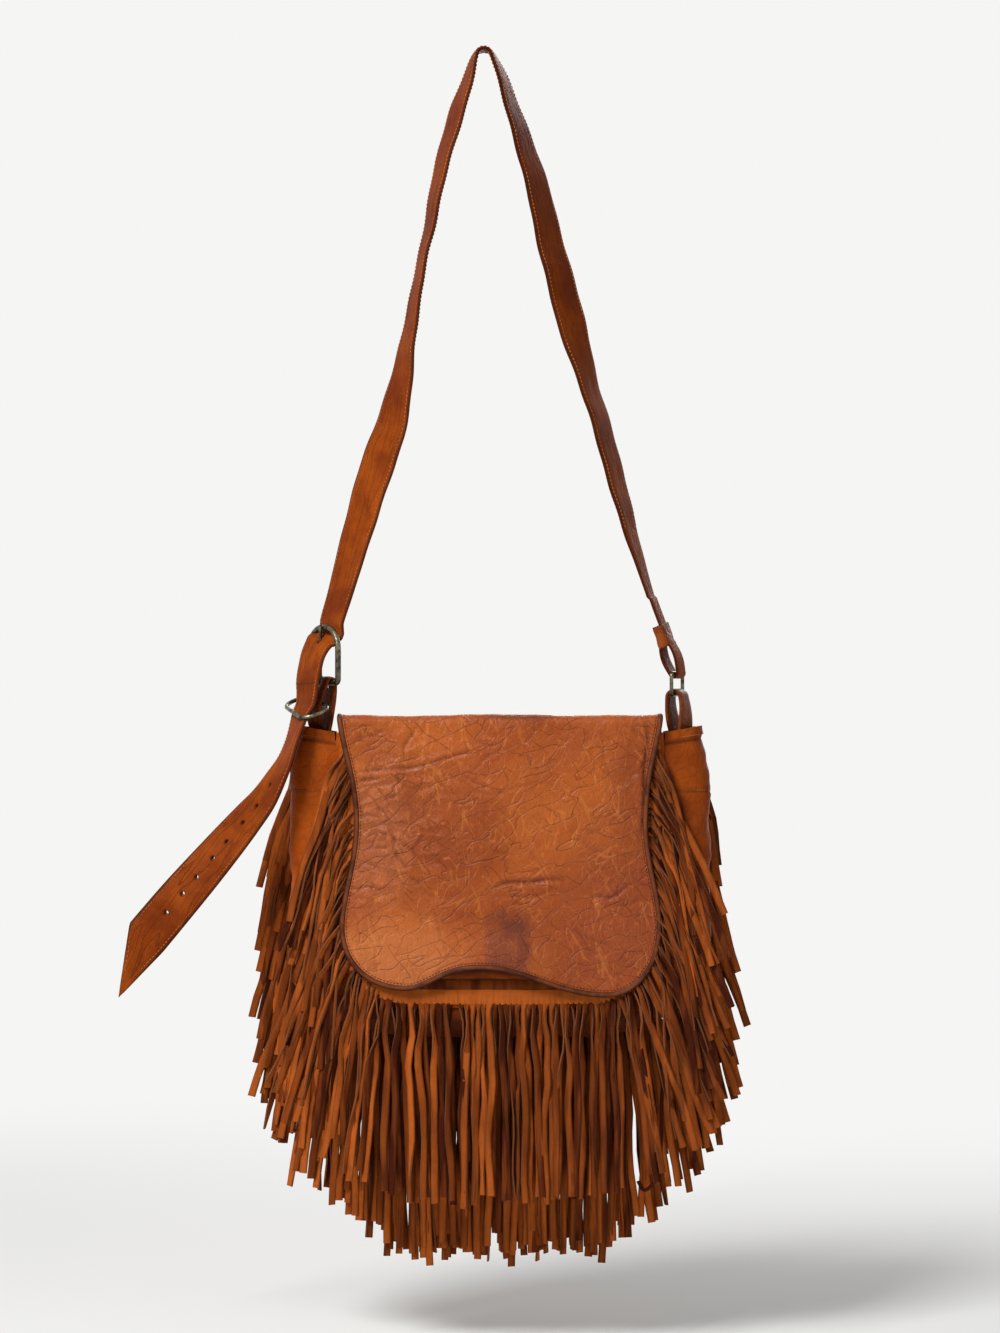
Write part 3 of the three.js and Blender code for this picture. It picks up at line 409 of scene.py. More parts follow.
def wrinkles(add, place, size, width, turn, drawn_out=3.0):
    """Long thin lines: where a noise of a size in mm, drawn out along a turned direction,
    crosses its middle value."""
    values = {"Vector": place, "Scale": (drawn_out, 1, 1), "Rotation": (0, 0, turn)}
    noise = add("TexNoise", sized(add("Mapping", values, vector_type="TEXTURE"), size, 1.5, 0.4))
    above = add("Math", (noise, 0.5), operation="SUBTRACT")
    far = add("Math", (above,), operation="ABSOLUTE")
    return add("MapRange", span(far, 0, width, 1, 0), **SMOOTHLY)


def spot(add, place, centre, radii, square=False):
    """A soft oval or squarish mark on the flat leather, in mm: 1 at its centre, 0 outside its radii.
    The distance is the root of the sum of squares, or of fourth powers for a square."""
    (x, y), (wide, high) = np.array([centre, radii]) * MM
    values = {"Vector": place, "Location": (x, y, 0), "Scale": (wide, high, 1)}
    moved = add("Mapping", values, vector_type="TEXTURE")
    flat = add("VectorMath", (moved, (1, 1, 0)), operation="MULTIPLY")
    if square:
        flat = add("VectorMath", (flat, flat), operation="MULTIPLY")
    far = add("VectorMath", (flat,), operation="LENGTH").outputs["Value"]
    return add("MapRange", span(far, 0.35, 1, 1, 0), **SMOOTHLY)


def marked(add, base, patch, places, marks):
    """Soft marks over a colour, each weaker where the leather's patches are low."""
    lifted = add("Math", (patch, 0.6), operation="MULTIPLY")
    for shape, centre, radii, share, code in marks:
        mark = spot(add, places[shape], centre, radii, shape == "square")
        uneven = add("Math", (lifted, share - 0.3), operation="ADD")
        base = painted(add, base, (mark, uneven, code))
    return base


# Marks on the flap, in mm from its middle and down the leather: shape, centre, radii, share, colour.
# Broad tones: a pale lobe as a painted sheen and a pale left edge as painted light, a redder right
# side with painted shade low down and along its edge, and a darker middle
FLAP_TONES_AND_PAINTED_LIGHT = (
    ("plain", (-100, 232), (88, 60), 0.5, "#c87642"),
    ("plain", (-112, 110), (46, 90), 0.4, "#b86a44"),
    ("plain", (70, 110), (70, 60), 0.3, "#bb6222"),
    ("plain", (-25, 120), (50, 60), 0.6, "#82350c"),
    ("uneven", (-70, 70), (50, 40), 0.4, "#8c3c12"),
    ("plain", (112, 200), (90, 100), 0.65, "#84361a"),
    ("plain", (130, 70), (40, 120), 0.6, "#80350e"),
)
# Marks from wear: the snap's squarish rub, and a smudge along the top
FLAP_STAINS = (
    ("square", (7, 209), (25, 37), 0.6, "#682a18"),
    ("uneven", (14, 196), (17, 12), 0.6, "#4c1d10"),
    ("uneven", (21, 216), (9, 22), 0.5, "#4c1d10"),
    ("uneven", (3, 228), (20, 10), 0.4, "#52200f"),
    ("uneven", (22, 215), (44, 40), 0.3, "#7c3a20"),
    ("uneven", (16, 5), (46, 7), 0.6, "#5c2c14"),
)


def glazed_flap_leather(add, looks):
    """Vegetable-tanned cowhide, glazed and worn: warm uneven brown with a painted sheen and light at the
    left and painted shade at the right, crossed by short broken wrinkles and pale veins, with painted
    shade in its creases, deeper cells at the left, fine pores, and a dark mark where the snap rubs."""
    flat = pattern_place(add, "flat")
    place = pattern_place(add, "flat", 6, 20)
    bent = pattern_place(add, "flat", 3, 26, 1.0)
    places = {"plain": flat, "uneven": place, "square": place}
    mottle = add("TexNoise", sized(place, 80, 4, 0.6))
    patch = add("TexNoise", sized(place, 20, 4, 0.6))
    pores = add("TexNoise", sized(flat, 1.1, 2, 0.6))
    mask = add("MapRange", span(add("TexNoise", sized(flat, 38, 3)), 0.36, 0.62), **SMOOTHLY)
    other = add("Math", (1, mask), operation="SUBTRACT")
    pillows = creases(add, place, 19, 0.5, (0.8, 1.15, 1))
    fine_net = creases(add, pattern_place(add, "flat", 3.5, 8), 4.5, 0.09, (1.1, 0.8, 1), 0.35)
    # Sets of long, gently bent lines that cross: size, width, turn and how far drawn out
    long_dark, steep_dark, long_pale, steep_pale, upright_pale = (
        wrinkles(add, bent, *row)
        for row in (
            (19, 0.015, -0.45), (17, 0.015, 0.75),
            (12, 0.017, -0.7, 4), (11, 0.018, 1.25, 5), (9, 0.018, 1.72, 6),
        )
    )
    left = spot(add, flat, (-100, 105), (80, 110))
    near_left = add("Math", (left, 0.75, 0.1), operation="MULTIPLY_ADD")
    deep = add("Math", (pillows, near_left), operation="MULTIPLY")
    half_steep = add("Math", (steep_dark, mask), operation="MULTIPLY")
    strokes = add("Math", (long_dark, half_steep), operation="MAXIMUM")
    broken = add("Math", (patch, 1.2, -0.1), operation="MULTIPLY_ADD")
    dark_lines = add("Math", (strokes, broken), operation="MULTIPLY")
    veins = steep_pale
    half_other = add("Math", (other, 0.5), operation="MULTIPLY")
    for lines, where in ((long_pale, other), (upright_pale, mask), (fine_net, half_other)):
        veins = add("Math", (veins, add("Math", (lines, where), operation="MULTIPLY")), operation="MAXIMUM")
    pale_lines = add("Math", (veins, add("Math", (1.25, patch), operation="SUBTRACT")), operation="MULTIPLY")
    crease = add("Attribute", attribute_name="crease").outputs["Fac"]
    base = painted(
        add, colour(looks.flap_dark),
        ((mottle, 0.34, 0.66), 1, looks.flap_light),
        ((patch, 0.42, 0.64), 0.3, "#8c3c10"),
    )
    base = marked(add, base, patch, places, FLAP_TONES_AND_PAINTED_LIGHT)
    base = painted(
        add, base,
        # Painted shade in the creases
        (crease, 0.6, "#5e260c"),
        (deep, 0.35, "#6a2d10"),
        (dark_lines, 0.56, "#62260a"),
        (pale_lines, 0.46, "#cc7833"),
    )
    base = marked(add, base, patch, places, FLAP_STAINS)
    soft = add("Math", (add("Math", (patch, 0.9), operation="MULTIPLY"), deep), operation="SUBTRACT")
    lines = add("Math", (pale_lines, 0.35, dark_lines), operation="MULTIPLY_ADD")
    sunk = add("Math", (1, lines), operation="SUBTRACT")
    return {
        "Base Color": base,
        "Roughness": add("MapRange", span(patch, 0.35, 0.65, 0.38, 0.54), **SMOOTHLY),
        "Normal": relief(add, (soft, 2.6), (sunk, 0.9), (pores, 0.15)),
    }


def body_leather(add, code, dark, light, scale=1.0):
    """Soft cowhide with a satin grain: one warm brown that drifts paler and darker, with fine pores,
    dark where a seam presses it, and painted shade where other parts keep the light off it."""
    place = pattern_place(add, "object", 4, 25)
    mottle = add("TexNoise", sized(place, 45 * scale, 4, 0.6))
    streak = add("TexNoise", sized(place, 14 * scale, 3, 0.6))
    lines = creases(add, place, 11 * scale, 0.12, (1, 0.6, 1))
    pores = add("TexNoise", sized(pattern_place(add, "object"), 1.1, 2, 0.6))
    base = painted(
        add, colour(dark),
        ((mottle, 0.36, 0.64), 1, light),
        ((streak, 0.4, 0.65), 0.6, code),
        (lines, 0.12, "#5d2a12"),
        # Seams pressed dark, and painted shade: under the flap's dip, low on the gusset and on its right side
        (add("Attribute", attribute_name="seam_and_painted_shade").outputs["Fac"], 0.8, "#3c1506"),
    )
    height = add("Math", (lines, -0.2, streak), operation="MULTIPLY_ADD")
    return {"Base Color": base, "Normal": relief(add, (height, 1.0), (pores, 0.12))}


def strap_leather(add, looks):
    """Two plies of cowhide, stitched and long worn: redder brown along the middle, darker edges
    and fine lengthwise folds, and painted shade towards its top."""
    place = pattern_place(add, "flat", 2.5, 18)
    mottle = add("TexNoise", sized(place, 50, 4, 0.6))
    long_place = add("Mapping", {"Vector": place, "Scale": (1, 0.12, 1)})
    folds = add("TexNoise", sized(long_place, 7, 3, 0.6))
    lines = wrinkles(add, place, 11, 0.02, math.pi / 2 - 0.06, 7)
    pores = add("TexNoise", sized(pattern_place(add, "flat"), 1.0, 2, 0.6))
    level = add("SeparateXYZ", (pattern_place(add, "object"),)).outputs["Z"]
    edge = add("Attribute", attribute_name="edge").outputs["Fac"]
    base = painted(
        add, colour(looks.strap_dark),
        ((mottle, 0.3, 0.7), 1, looks.strap_light),
        # Painted shade: darker towards the top of the strap
        ((level, -0.45, -0.12, 0, 0.5), 1, "#5c240c"),
        ((folds, 0.4, 0.7), 0.4, "#6c2c0e"),
        (lines, 0.42, "#4c1d0a"),
        ((edge, 0.84, 0.98), 0.85, "#3a1708"),
    )
    height = add("Math", (lines, -0.3, folds), operation="MULTIPLY_ADD")
    return {"Base Color": base, "Normal": relief(add, (height, 1.3), (pores, 0.12))}


def cut_suede(add, looks):
    """Fringe leather, cut into strands: matt nap on its faces, each strand a little paler or darker
    and uneven along its length, with rounded dark edges and a raw grey-brown cut."""
    flat = pattern_place(add, "object")
    named = (add("Attribute", attribute_name=name) for name in ("tone", "cut", "across"))
    tone, cut, across = (attribute.outputs["Fac"] for attribute in named)
    nap = add("TexNoise", sized(flat, 9, 4, 0.7))
    drift = add("TexNoise", sized(add("Mapping", {"Vector": flat, "Scale": (1, 1, 0.12)}), 10, 2, 0.5))
    pores = add("TexNoise", sized(flat, 0.8, 2, 0.6))
    drifted = add("MapRange", span(drift, 0.35, 0.65, -0.2, 0.2), **SMOOTHLY)
    # The tone holds each strand's own paleness, with the painted light and shade set on the fringe and band
    share = add("Math", (tone, drifted), operation="ADD")
    edge = add("Math", (add("Math", (across,), operation="ABSOLUTE"), 4), operation="POWER")
    base = painted(
        add, colour(looks.fringe_dark),
        (share, 1, looks.fringe_light),
        ((nap, 0.4, 0.65), 0.18, "#682808"),
        (edge, 0.45, "#3d1606"),
        (cut, 0.6, "#75492e"),
    )
    rounded = add("Math", (1, edge), operation="SUBTRACT")
    return {"Base Color": base, "Normal": relief(add, (rounded, 0.9), (nap, 0.3), (pores, 0.12))}


def flesh_side(add):
    """The flesh side of split cowhide: matt, pale and fibrous."""
    flat = pattern_place(add, "object")
    cloud = add("TexNoise", sized(flat, 30, 4, 0.6))
    fibre = add("TexNoise", sized(flat, 1.2, 3, 0.7))
    base = painted(add, colour("#7c4a2b"), ((cloud, 0.35, 0.65), 1, "#99653f"), (fibre, 0.3, "#b07b52"))
    return {"Base Color": base, "Normal": relief(add, (fibre, 0.25))}


def binding_leather(add, looks):
    """A thin strip of dark dyed leather, with brown wearing through in patches, lighter along its top as a
    painted highlight.
    """
    place = pattern_place(add, "object", 2, 12)
    worn = add("TexNoise", sized(place, 26, 4, 0.65))
    pores = add("TexNoise", sized(place, 1.0, 2, 0.6))
    ridge = add("Attribute", attribute_name="ridge").outputs["Fac"]
    base = painted(add, colour(looks.binding), ((worn, 0.38, 0.62, 0.25, 1), ridge, "#8a4a2a"))
    return {"Base Color": base, "Normal": relief(add, (worn, 0.4), (pores, 0.1))}


def aged_brass(add, looks):
    """Drawn brass wire with a dark bronze plating: grey-green brown, worn bright in places."""
    flat = pattern_place(add, "object")
    patina = add("TexNoise", sized(flat, 7, 5, 0.65))
    specks = add("TexNoise", sized(flat, 0.9, 2, 0.6))
    return {
        "Base Color": painted(add, colour("#37352b"), ((patina, 0.36, 0.62), 1, looks.brass)),
        "Roughness": add("MapRange", span(patina, 0.35, 0.65, 0.46, 0.26), **SMOOTHLY),
        "Normal": relief(add, (specks, 0.06)),
    }


def waxed_thread(add, dark, light):
    """Twisted linen thread, waxed and worn in: uneven brown, with the twist as fine slanting ribs."""
    flat = pattern_place(add, "object")
    twist = add("TexNoise", sized(flat, 0.6, 2, 0.6))
    cloud = add("TexNoise", sized(flat, 25, 2, 0.5))
    base = painted(add, colour(dark), ((cloud, 0.4, 0.6), 1, light), (twist, 0.4, dark))
    return {"Base Color": base, "Normal": relief(add, (twist, 0.1))}


MATERIALS = {}


def make_materials(looks):
    """Each material has one principled shader, with plain values for its roughness and its specular
    level, and for others that its row names. A function adds the rest of its nodes."""
    coated = {"Coat Weight": 0.03, "Coat Roughness": 0.3}
    tab = ("#7c3a14", "#62290d", "#8e481c", 0.6)
    for key, name, roughness, specular, others, paint, arguments in (
        ("flap", "glazed_cowhide", 0.42, 0.24, coated, glazed_flap_leather, [looks]),
        ("body", "soft_satin_cowhide", 0.45, 0.07, {}, body_leather, [looks.body, "#863708", "#ad5011"]),
        ("tab", "folded_tab_cowhide", 0.45, 0.07, {}, body_leather, tab),
        ("strap", "worn_strap_cowhide", 0.55, 0.04, {}, strap_leather, [looks]),
        ("suede", "cut_split_suede", 0.8, 0.07, {}, cut_suede, [looks]),
        ("flesh", "flesh_side_split", 0.9, 0.25, {"Sheen Weight": 0.15}, flesh_side, []),
        ("binding", "dyed_edge_binding", 0.45, 0.12, {}, binding_leather, [looks]),
        ("brass", "antiqued_brass_wire", 0.34, 0.5, {"Metallic": 1.0}, aged_brass, [looks]),
        ("thread", "waxed_linen_thread", 0.65, 0.15, {}, waxed_thread, ["#8f4b24", "#b9713f"]),
        ("dark_thread", "dark_waxed_thread", 0.65, 0.15, {}, waxed_thread, ["#4a1e0c", "#6e3216"]),
    ):
        material = bpy.data.materials.new(name)
        material.use_nodes = True
        tree = material.node_tree
        main = tree.nodes["Principled BSDF"]
        feed(tree, main, {"Roughness": roughness, "Specular IOR Level": specular, "IOR": 1.5, **others})
        feed(tree, main, paint(partial(node, tree), *arguments))
        MATERIALS[key] = material


# The body's seams


def seam(s, bottom):
    """Places on a panel's U seam at lengths s from its top left, and the directions outwards.
    It runs straight down, round a quarter circle, along the bottom and the same way up again."""
    side = bottom - MOUTH_DROP - CORNER
    arc = CORNER * math.pi / 2
    length = seam_length(bottom)
    mirrored = s > length / 2
    t = np.where(mirrored, length - s, s)
    angle = np.clip((t - side) / CORNER, 0, math.pi / 2)
    nx, nz = -np.cos(angle), -np.sin(angle)
    inner = HALF_WIDTH - CORNER
    x = -inner + CORNER * nx + np.maximum(0, t - side - arc)
    drop = np.where(t < side, MOUTH_DROP + t, bottom - CORNER - CORNER * nz)
    x = np.where(mirrored, -x, x)
    nx = np.where(mirrored, -nx, nx)
    drop = drop + SAG * (1 - (x / HALF_WIDTH) ** 2)
    return x, drop, nx, nz


def seam_length(bottom):
    """The length of a panel's whole U seam."""
    return 2 * (bottom - MOUTH_DROP - CORNER) + CORNER * math.pi + 2 * (HALF_WIDTH - CORNER)


def belly(x, drop):
    """How far the filled front stands out: a parabola across times half a sine wave down."""
    across = np.maximum(0, 1 - (x / (HALF_WIDTH - BAND)) ** 2)
    down = np.clip(drop / (FRONT_DROP - 2 * BAND), 0, 1)
    return BELLY * across * np.sin(np.pi * down)


def world(x, y, drop):
    """From places on the bag to the frame: x from its middle, y in depth, drop from its top."""
    return np.stack(np.broadcast_arrays(x + MIDDLE, y, TOP - drop), -1)


def panel_grid(top, bottom, columns=90, rows=90):
    """Rows across a panel, as wide as its round-cornered outline at each height."""
    drop = np.linspace(top, bottom, rows)[:, None]
    u = np.linspace(-1, 1, columns)[None]
    into = np.maximum(0, drop - (bottom - CORNER))
    half = HALF_WIDTH - CORNER + np.sqrt(np.maximum(0, CORNER**2 - into**2))
    x = half * u
    share = smooth((drop - top) / (bottom - top))
    return x, drop + share * SAG * (1 - (x / HALF_WIDTH) ** 2)


# Where the flap's dip casts a painted shadow on the front panel
FLAP_SHADOW_MIDDLE = -15 * MM
FLAP_SHADOW_START = 205 * MM
FLAP_SHADOW_END = 236 * MM


def make_panels():
    """Two soft panels, each a grid with a low uneven swell and a real thickness. The front one has
    a painted shadow just under the flap's dip, where its bound edge lies."""
    for name, bottom, top, side, swell in (
        ("front_panel", FRONT_DROP, MOUTH_DROP, -1, 1.0),
        ("back_panel", BACK_DROP, 6.5 * MM, 1, 0.0),
    ):
        x, drop = panel_grid(top, bottom)
        inside = smooth((HALF_WIDTH - np.abs(x)) / (30 * MM)) * smooth((bottom - drop) / (30 * MM))
        uneven = ripple(x, drop, 3 + side, 120 * MM) * 1.2 * MM * inside
        depth = PANEL_OUT + swell * belly(x, drop) + uneven
        outer = world(x, side * depth, drop)
        inner = world(x, side * (depth - PANEL_THICK), drop)
        points, faces = slab(outer, inner)
        # Painted shadow on the panel just under the flap's dip
        aside = x - FLAP_SHADOW_MIDDLE
        above_end = smooth((FLAP_SHADOW_END + 0.1 * np.abs(aside) - drop) / (6 * MM))
        flap_shadow = swell * above_end * smooth((drop - FLAP_SHADOW_START) / (18 * MM)) * bump(aside, 90 * MM)
        made = piece(
            f"{name}_leather", points, faces, MATERIALS["body"], "body_leather", "bag",
            values={"seam_and_painted_shade": np.tile(1.15 * flap_shadow.ravel(), 2)},
        )
        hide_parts(name)


# How far the gusset stands out at its top, sides and bottom, and how far its hem and its cross
# seam are from its ends
GUSSET_TOP = 34.5 * MM
GUSSET_SIDE = 43 * MM
GUSSET_BOTTOM = 18 * MM
HEM_LINE = 10 * MM
CROSS_SEAM = 52 * MM


def gusset_bulge(distance):
    """How far the gusset stands out beyond the seam, by the distance from its end."""
    side_length = FRONT_DROP - MOUTH_DROP - CORNER
    side = mix(GUSSET_TOP, GUSSET_SIDE, smooth((distance + 8 * MM) / (60 * MM)))
    return mix(side, GUSSET_BOTTOM, smooth((distance - side_length) / (CORNER * math.pi / 2)))


def gusset_surface(t, fold, stand=0.0):
    """The gusset's outer face: between the two seams, swelling as a power of the cosine of the fold."""
    length = seam_length(FRONT_DROP)
    distance = np.minimum(t, 1 - t) * length
    swell = gusset_bulge(distance)
    out = swell * np.abs(np.cos(fold)) ** 0.6 + stand
    share = (np.sin(fold) + 1) / 2
    x0, d0, nx0, nz0 = seam(t * length, FRONT_DROP)
    x1, d1, nx1, nz1 = seam(t * seam_length(BACK_DROP), BACK_DROP)
    end = smooth(distance / (55 * MM))
    rise = (1 - end) * 6 * MM * out / swell
    x = mix(x0, x1, share) + out * mix(nx0, nx1, share)
    drop = mix(d0, d1, share) - out * mix(nz0, nz1, share) - rise
    return world(x, HALF_DEPTH * np.sin(fold), drop)


def make_gusset():
    """One strip round the bag, folded outwards, with a turned hem at each end and soft cross folds."""
    columns, rows = 41, 260
    lean = np.linspace(-1, 1, columns)[None]
    fold = (np.pi / 2) * np.sign(lean) * np.abs(lean) ** 0.8
    even = np.linspace(0, 1, rows)[:, None]
    t = smooth(even) * 0.25 + even * 0.75
    length = seam_length(FRONT_DROP)
    distance = np.minimum(t, 1 - t) * length
    hem = 1.3 * MM * smooth((9 * MM - distance) / (1.5 * MM)) - 1.1 * MM * bump(distance - HEM_LINE, 1.3 * MM)
    soft = np.cos(fold) ** 2
    folds = ripple(t * length * 2.2, fold * 22 * MM, 8, 60 * MM) * 1.6 * MM * soft
    groove = -1.4 * MM * bump(distance - CROSS_SEAM, 1.4 * MM) * soft
    outer = gusset_surface(t, fold, hem + folds + groove)
    inner = outer - grid_normals(outer) * PANEL_THICK
    towards = world(0, 0, 150 * MM) - outer
    if np.sum((inner - outer) * towards) < 0:
        inner = 2 * outer - inner
    points, faces = slab(outer, inner)
    seam_and_painted_shade = bump(distance - HEM_LINE, 1.4 * MM) + 0.6 * bump(distance - CROSS_SEAM, 1.2 * MM)
    # Painted shade: darker towards the bottom, behind the hanging strands, and on the right side, turned from
    # the light
    seam_and_painted_shade = seam_and_painted_shade + 0.85 * smooth((distance - 200 * MM) / (50 * MM)) + 0.3 * smooth((t - 0.6) / 0.2)
    seam_and_painted_shade = np.broadcast_to(seam_and_painted_shade, outer.shape[:2])
    made = piece(
        "gusset_leather", points, faces, MATERIALS["body"], "body_leather", "bag",
        values={"seam_and_painted_shade": np.tile(seam_and_painted_shade.ravel(), 2)},
    )
    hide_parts("gusset")
    stitch_rows = []
    across = np.linspace(-1.25, 1.25, 26)
    for far, stand in ((7 * MM / length, 0.9 * MM), (CROSS_SEAM / length, -0.5 * MM)):
        for share in (far, 1 - far):
            at = np.full(len(across), share)
            here = gusset_surface(at, across, stand)
            along = unit(gusset_surface(at, across + 0.02, stand) - here)
            out = unit((here - world(0, 0, 60 * MM)) * [1, 1, 0])
            stitch_rows.append((here, along, unit(np.cross(np.cross(along, out), along))))
    stitches("gusset_stitches", *(np.concatenate(rows) for rows in zip(*stitch_rows)), "bag")


# Fringe

STATIONS = 13
STRAND_THICK = 1.5 * MM
SECTION_CORNERS = ((-1, -1), (1, -1), (1, 1), (-1, 1))
# Of a strand: its size, how far it keeps the seam's direction, its lean (least, most near the top,
# most further down), its tone (raised behind as painted light against the front strands' shadow),
# its painted shade near the top, and how it twists below the band and further down
FRONT_STYLE = {
    "width": 6.3 * MM, "length": 176 * MM, "side_length": 160 * MM, "short_top": 0 * MM, "ragged": 4 * MM,
    "near": (6 * MM, 8 * MM), "far": (26 * MM, 32 * MM), "droop": 1.1,
    "lean_left": (0.08, 0.34, 0.4), "lean_right": (0.12, 0.5, 0.46),
    "side_inset": 14 * MM, "lift": 0.02, "tone": 0.46, "shade": 0.0, "pinch": 1.0, "turn": 1.4,
}
BACK_STYLE = {
    "width": 6.6 * MM, "length": 214 * MM, "side_length": 168 * MM, "short_top": 26 * MM, "ragged": 7 * MM,
    "near": (26 * MM, 12 * MM), "far": (48 * MM, 30 * MM), "droop": 0.0,
    "lean_left": (0.04, 0.24, 0.2), "lean_right": (0.06, 0.24, 0.28),
    "side_inset": 4 * MM, "lift": 0.035, "tone": 0.68, "shade": 0.7, "pinch": 0.3, "turn": 0.8,
}
# The band's section: how far in from the seam and out from the panel, in mm
BAND_SECTION = (
    (3, 0.3), (3, 2.0), (5, 2.4), (8, 2.3), (12, 2.4), (16, 2.2),
    (17, 1.2), (18, 2.2), (24, 2.1), (25, 1.6), (25, 0.3),
)
# The strand with a curled end: mm to the right and down on the bag
CURL = ((151, 311), (147.6, 351), (146.7, 392), (144, 415), (138.6, 429.5), (131.4, 434), (126, 425.9))


def strand_paths(root, outwards, reach, length, lean, chance):
    """The middle line of each strand, as whole arrays. It leaves the band in the seam's outward
    direction, which fades by e to the minus length over reach, and gravity takes its place.
    A wave to the sides is strong near the band and faint below, and each strand bends a little."""
    share = np.linspace(0, 1, STATIONS)[None] ** 1.3
    run = length[:, None] * share
    fade = np.exp(-run / reach[:, None])
    wave = np.sin(2 * np.pi * (run / (38 * MM + 30 * MM * chance[:, 1:2]) + chance[:, 2:3]))
    wave = wave * (0.3 + chance[:, 0:1]) * mix(0.05, 0.24, bump(run - 30 * MM, 36 * MM))
    bend = (chance[:, 5:6] - 0.5) * 0.22 * np.sin(2 * np.pi * (run / (110 * MM) + chance[:, 0:1]))
    lean = lean[:, None] + bend
    slope_x = outwards[0][:, None] * fade + np.sin(lean) * (1 - fade) + wave
    slope_d = outwards[1][:, None] * fade + np.cos(lean) * (1 - fade)
    size = np.hypot(slope_x, slope_d)
    step = np.diff(run, axis=1)
    moves = [(k / size)[:, :-1] / 2 + (k / size)[:, 1:] / 2 for k in (slope_x, slope_d)]
    x, drop = (np.pad(np.cumsum(m * step, 1), ((0, 0), (1, 0))) + r[:, None] for m, r in zip(moves, root))
    return x, drop, run, share


def make_strands(bottom, side, s, style, seed, layer_depth=0.0):
    """Flat strands with a square section, each with its own sway, twist, tone and length, with painted
    shade near the tops of the rear strands and on the right side strands. They turn nearly edge on
    below the band, and hang flat further down."""
    dice = np.random.default_rng(seed)
    count = len(s)
    chance = dice.uniform(0, 1, (count, 8))
    x0, d0, nx, nz = seam(s, bottom)
    upright = smooth(np.abs(nx))
    inset = mix(4 * MM, style["side_inset"], upright)
    root = (x0 - nx * inset, d0 + nz * inset)
    slot = (np.arange(count) * 3 % 5) / 4
    near, far = (np.where(nx > 0, right, left) for left, right in (style["near"], style["far"]))
    reach = mix(3 * MM, mix(near, far, slot), upright)
    length = mix(style["length"], style["side_length"], upright)
    length = length - style["short_top"] * smooth(1 - (d0 - MOUTH_DROP) / (120 * MM)) * upright
    length = length + dice.normal(0, 1, count) * style["ragged"] * mix(1, 2, upright)
    low, high, lower = (np.where(nx > 0, r, l) for l, r in zip(style["lean_left"], style["lean_right"]))
    high = mix(high, lower, smooth(d0 / (120 * MM)))
    uneven = dice.normal(0, 1, count) * mix(0.022, 0.05, upright)
    lean = np.sign(nx) * upright * mix(low, high, chance[:, 3]) + uneven
    x, drop, run, share = strand_paths(root, (nx, style["droop"] * upright - nz), reach, length, lean, chance)
    layer = layer_depth + mix(np.arange(count) % 2 * 3 * MM, slot * 4 * MM, upright) + chance[:, 6] * 2 * MM
    lift = layer[:, None] * smooth(run / (20 * MM)) + style["lift"] * run * (0.5 + chance[:, 4:5])
    sway = 1.6 * MM * smooth(run / (15 * MM)) * np.sin(2 * np.pi * (run / (55 * MM) + chance[:, 5:6]))
    y = side * (PANEL_OUT + GAP + 1 * MM + lift + sway * np.exp(-run / (110 * MM)))
    centres = world(x, y, drop)
    along = unit(np.gradient(centres, axis=1))
    out = np.zeros_like(along)
    out[..., 1] = side
    flat = unit(np.cross(along, out))
    out = np.cross(flat, along)
    turn = np.where(chance[:, 1:2] > 0.4, 1, -1) * mix(0.8, 1.4, chance[:, 7:8])
    twist = style["pinch"] * turn * smooth(run / (9 * MM)) * (1 - smooth((run - 14 * MM) / (62 * MM)))
    twist = twist + (chance[:, 2:3] - 0.5) * style["turn"] * smooth(run / (45 * MM))
    twist = twist + 0.35 * np.sin(2 * np.pi * (run / (90 * MM) + chance[:, 6:7])) * smooth(run / (30 * MM))
    twist = twist + (chance[:, 4:5] > 0.88) * turn * smooth(share) * 1.4
    turn_c, turn_s = np.cos(twist)[..., None], np.sin(twist)[..., None]
    across = flat * turn_c + out * turn_s
    normal = out * turn_c - flat * turn_s
    half = style["width"] / 2 * (1 + 0.16 * (chance[:, 3:4] - 0.5))[..., None] * np.ones(run.shape)[..., None]
    thick = STRAND_THICK / 2
    points = np.stack([centres + across * half * a + normal * thick * b for a, b in SECTION_CORNERS], 2)
    template = np.concatenate([grid_quads(STATIONS, 4, close_columns=True), *end_faces(STATIONS, 4)])
    is_cut = np.concatenate([np.tile([0, 1, 0, 1], STATIONS - 1), [1, 1]])
    faces = (template[None] + np.arange(count)[:, None, None] * STATIONS * 4).reshape(-1, 4)
    tone = style["tone"] + dice.uniform(-0.5, 0.5, count) + 0.25 * (chance[:, 0] > 0.85)
    # Painted shade: the rear strands darker towards their tops, behind the front fringe, and the side strands
    # on the right darker, away from the light
    painted_top_shade = style["shade"] * (1 - upright)[:, None] * (1 - smooth((run - 115 * MM) / (50 * MM)))
    tone = np.clip((tone - 0.16 * upright * (nx > 0))[:, None] - painted_top_shade, 0, 1)
    return points.reshape(-1, 3), faces, np.repeat(tone.ravel(), 4), np.tile(is_cut, count)


def band_tones(count, side):
    """Pale in front, with painted shade above its groove, under the flap, and painted shade behind, where the
    rear band shows through the strands.
    """
    return np.tile([0.3 if side > 0 else 1.0 if inset < 17 else 0.25 for inset, _ in BAND_SECTION], count)


def make_band(bottom, side, start, end, pitch):
    """The uncut strip along the seam, with a small tuck at each strand."""
    at = np.linspace(start, end, int((end - start) / (1.5 * MM)))
    x, drop, nx, nz = seam(at, bottom)
    rows = []
    for inset, depth in BAND_SECTION:
        tuck = 0.6 * MM * np.sin(at * 2 * np.pi / pitch) * (depth > 1) * max(0, (13 - inset) / 10)
        out = PANEL_OUT + depth * MM + tuck
        rows.append(world(x - nx * inset * MM, side * out, drop + nz * inset * MM))
    points = np.stack(rows, 1)
    count, columns = points.shape[:2]
    return points, [grid_quads(count, columns, close_columns=True)] + end_faces(count, columns)


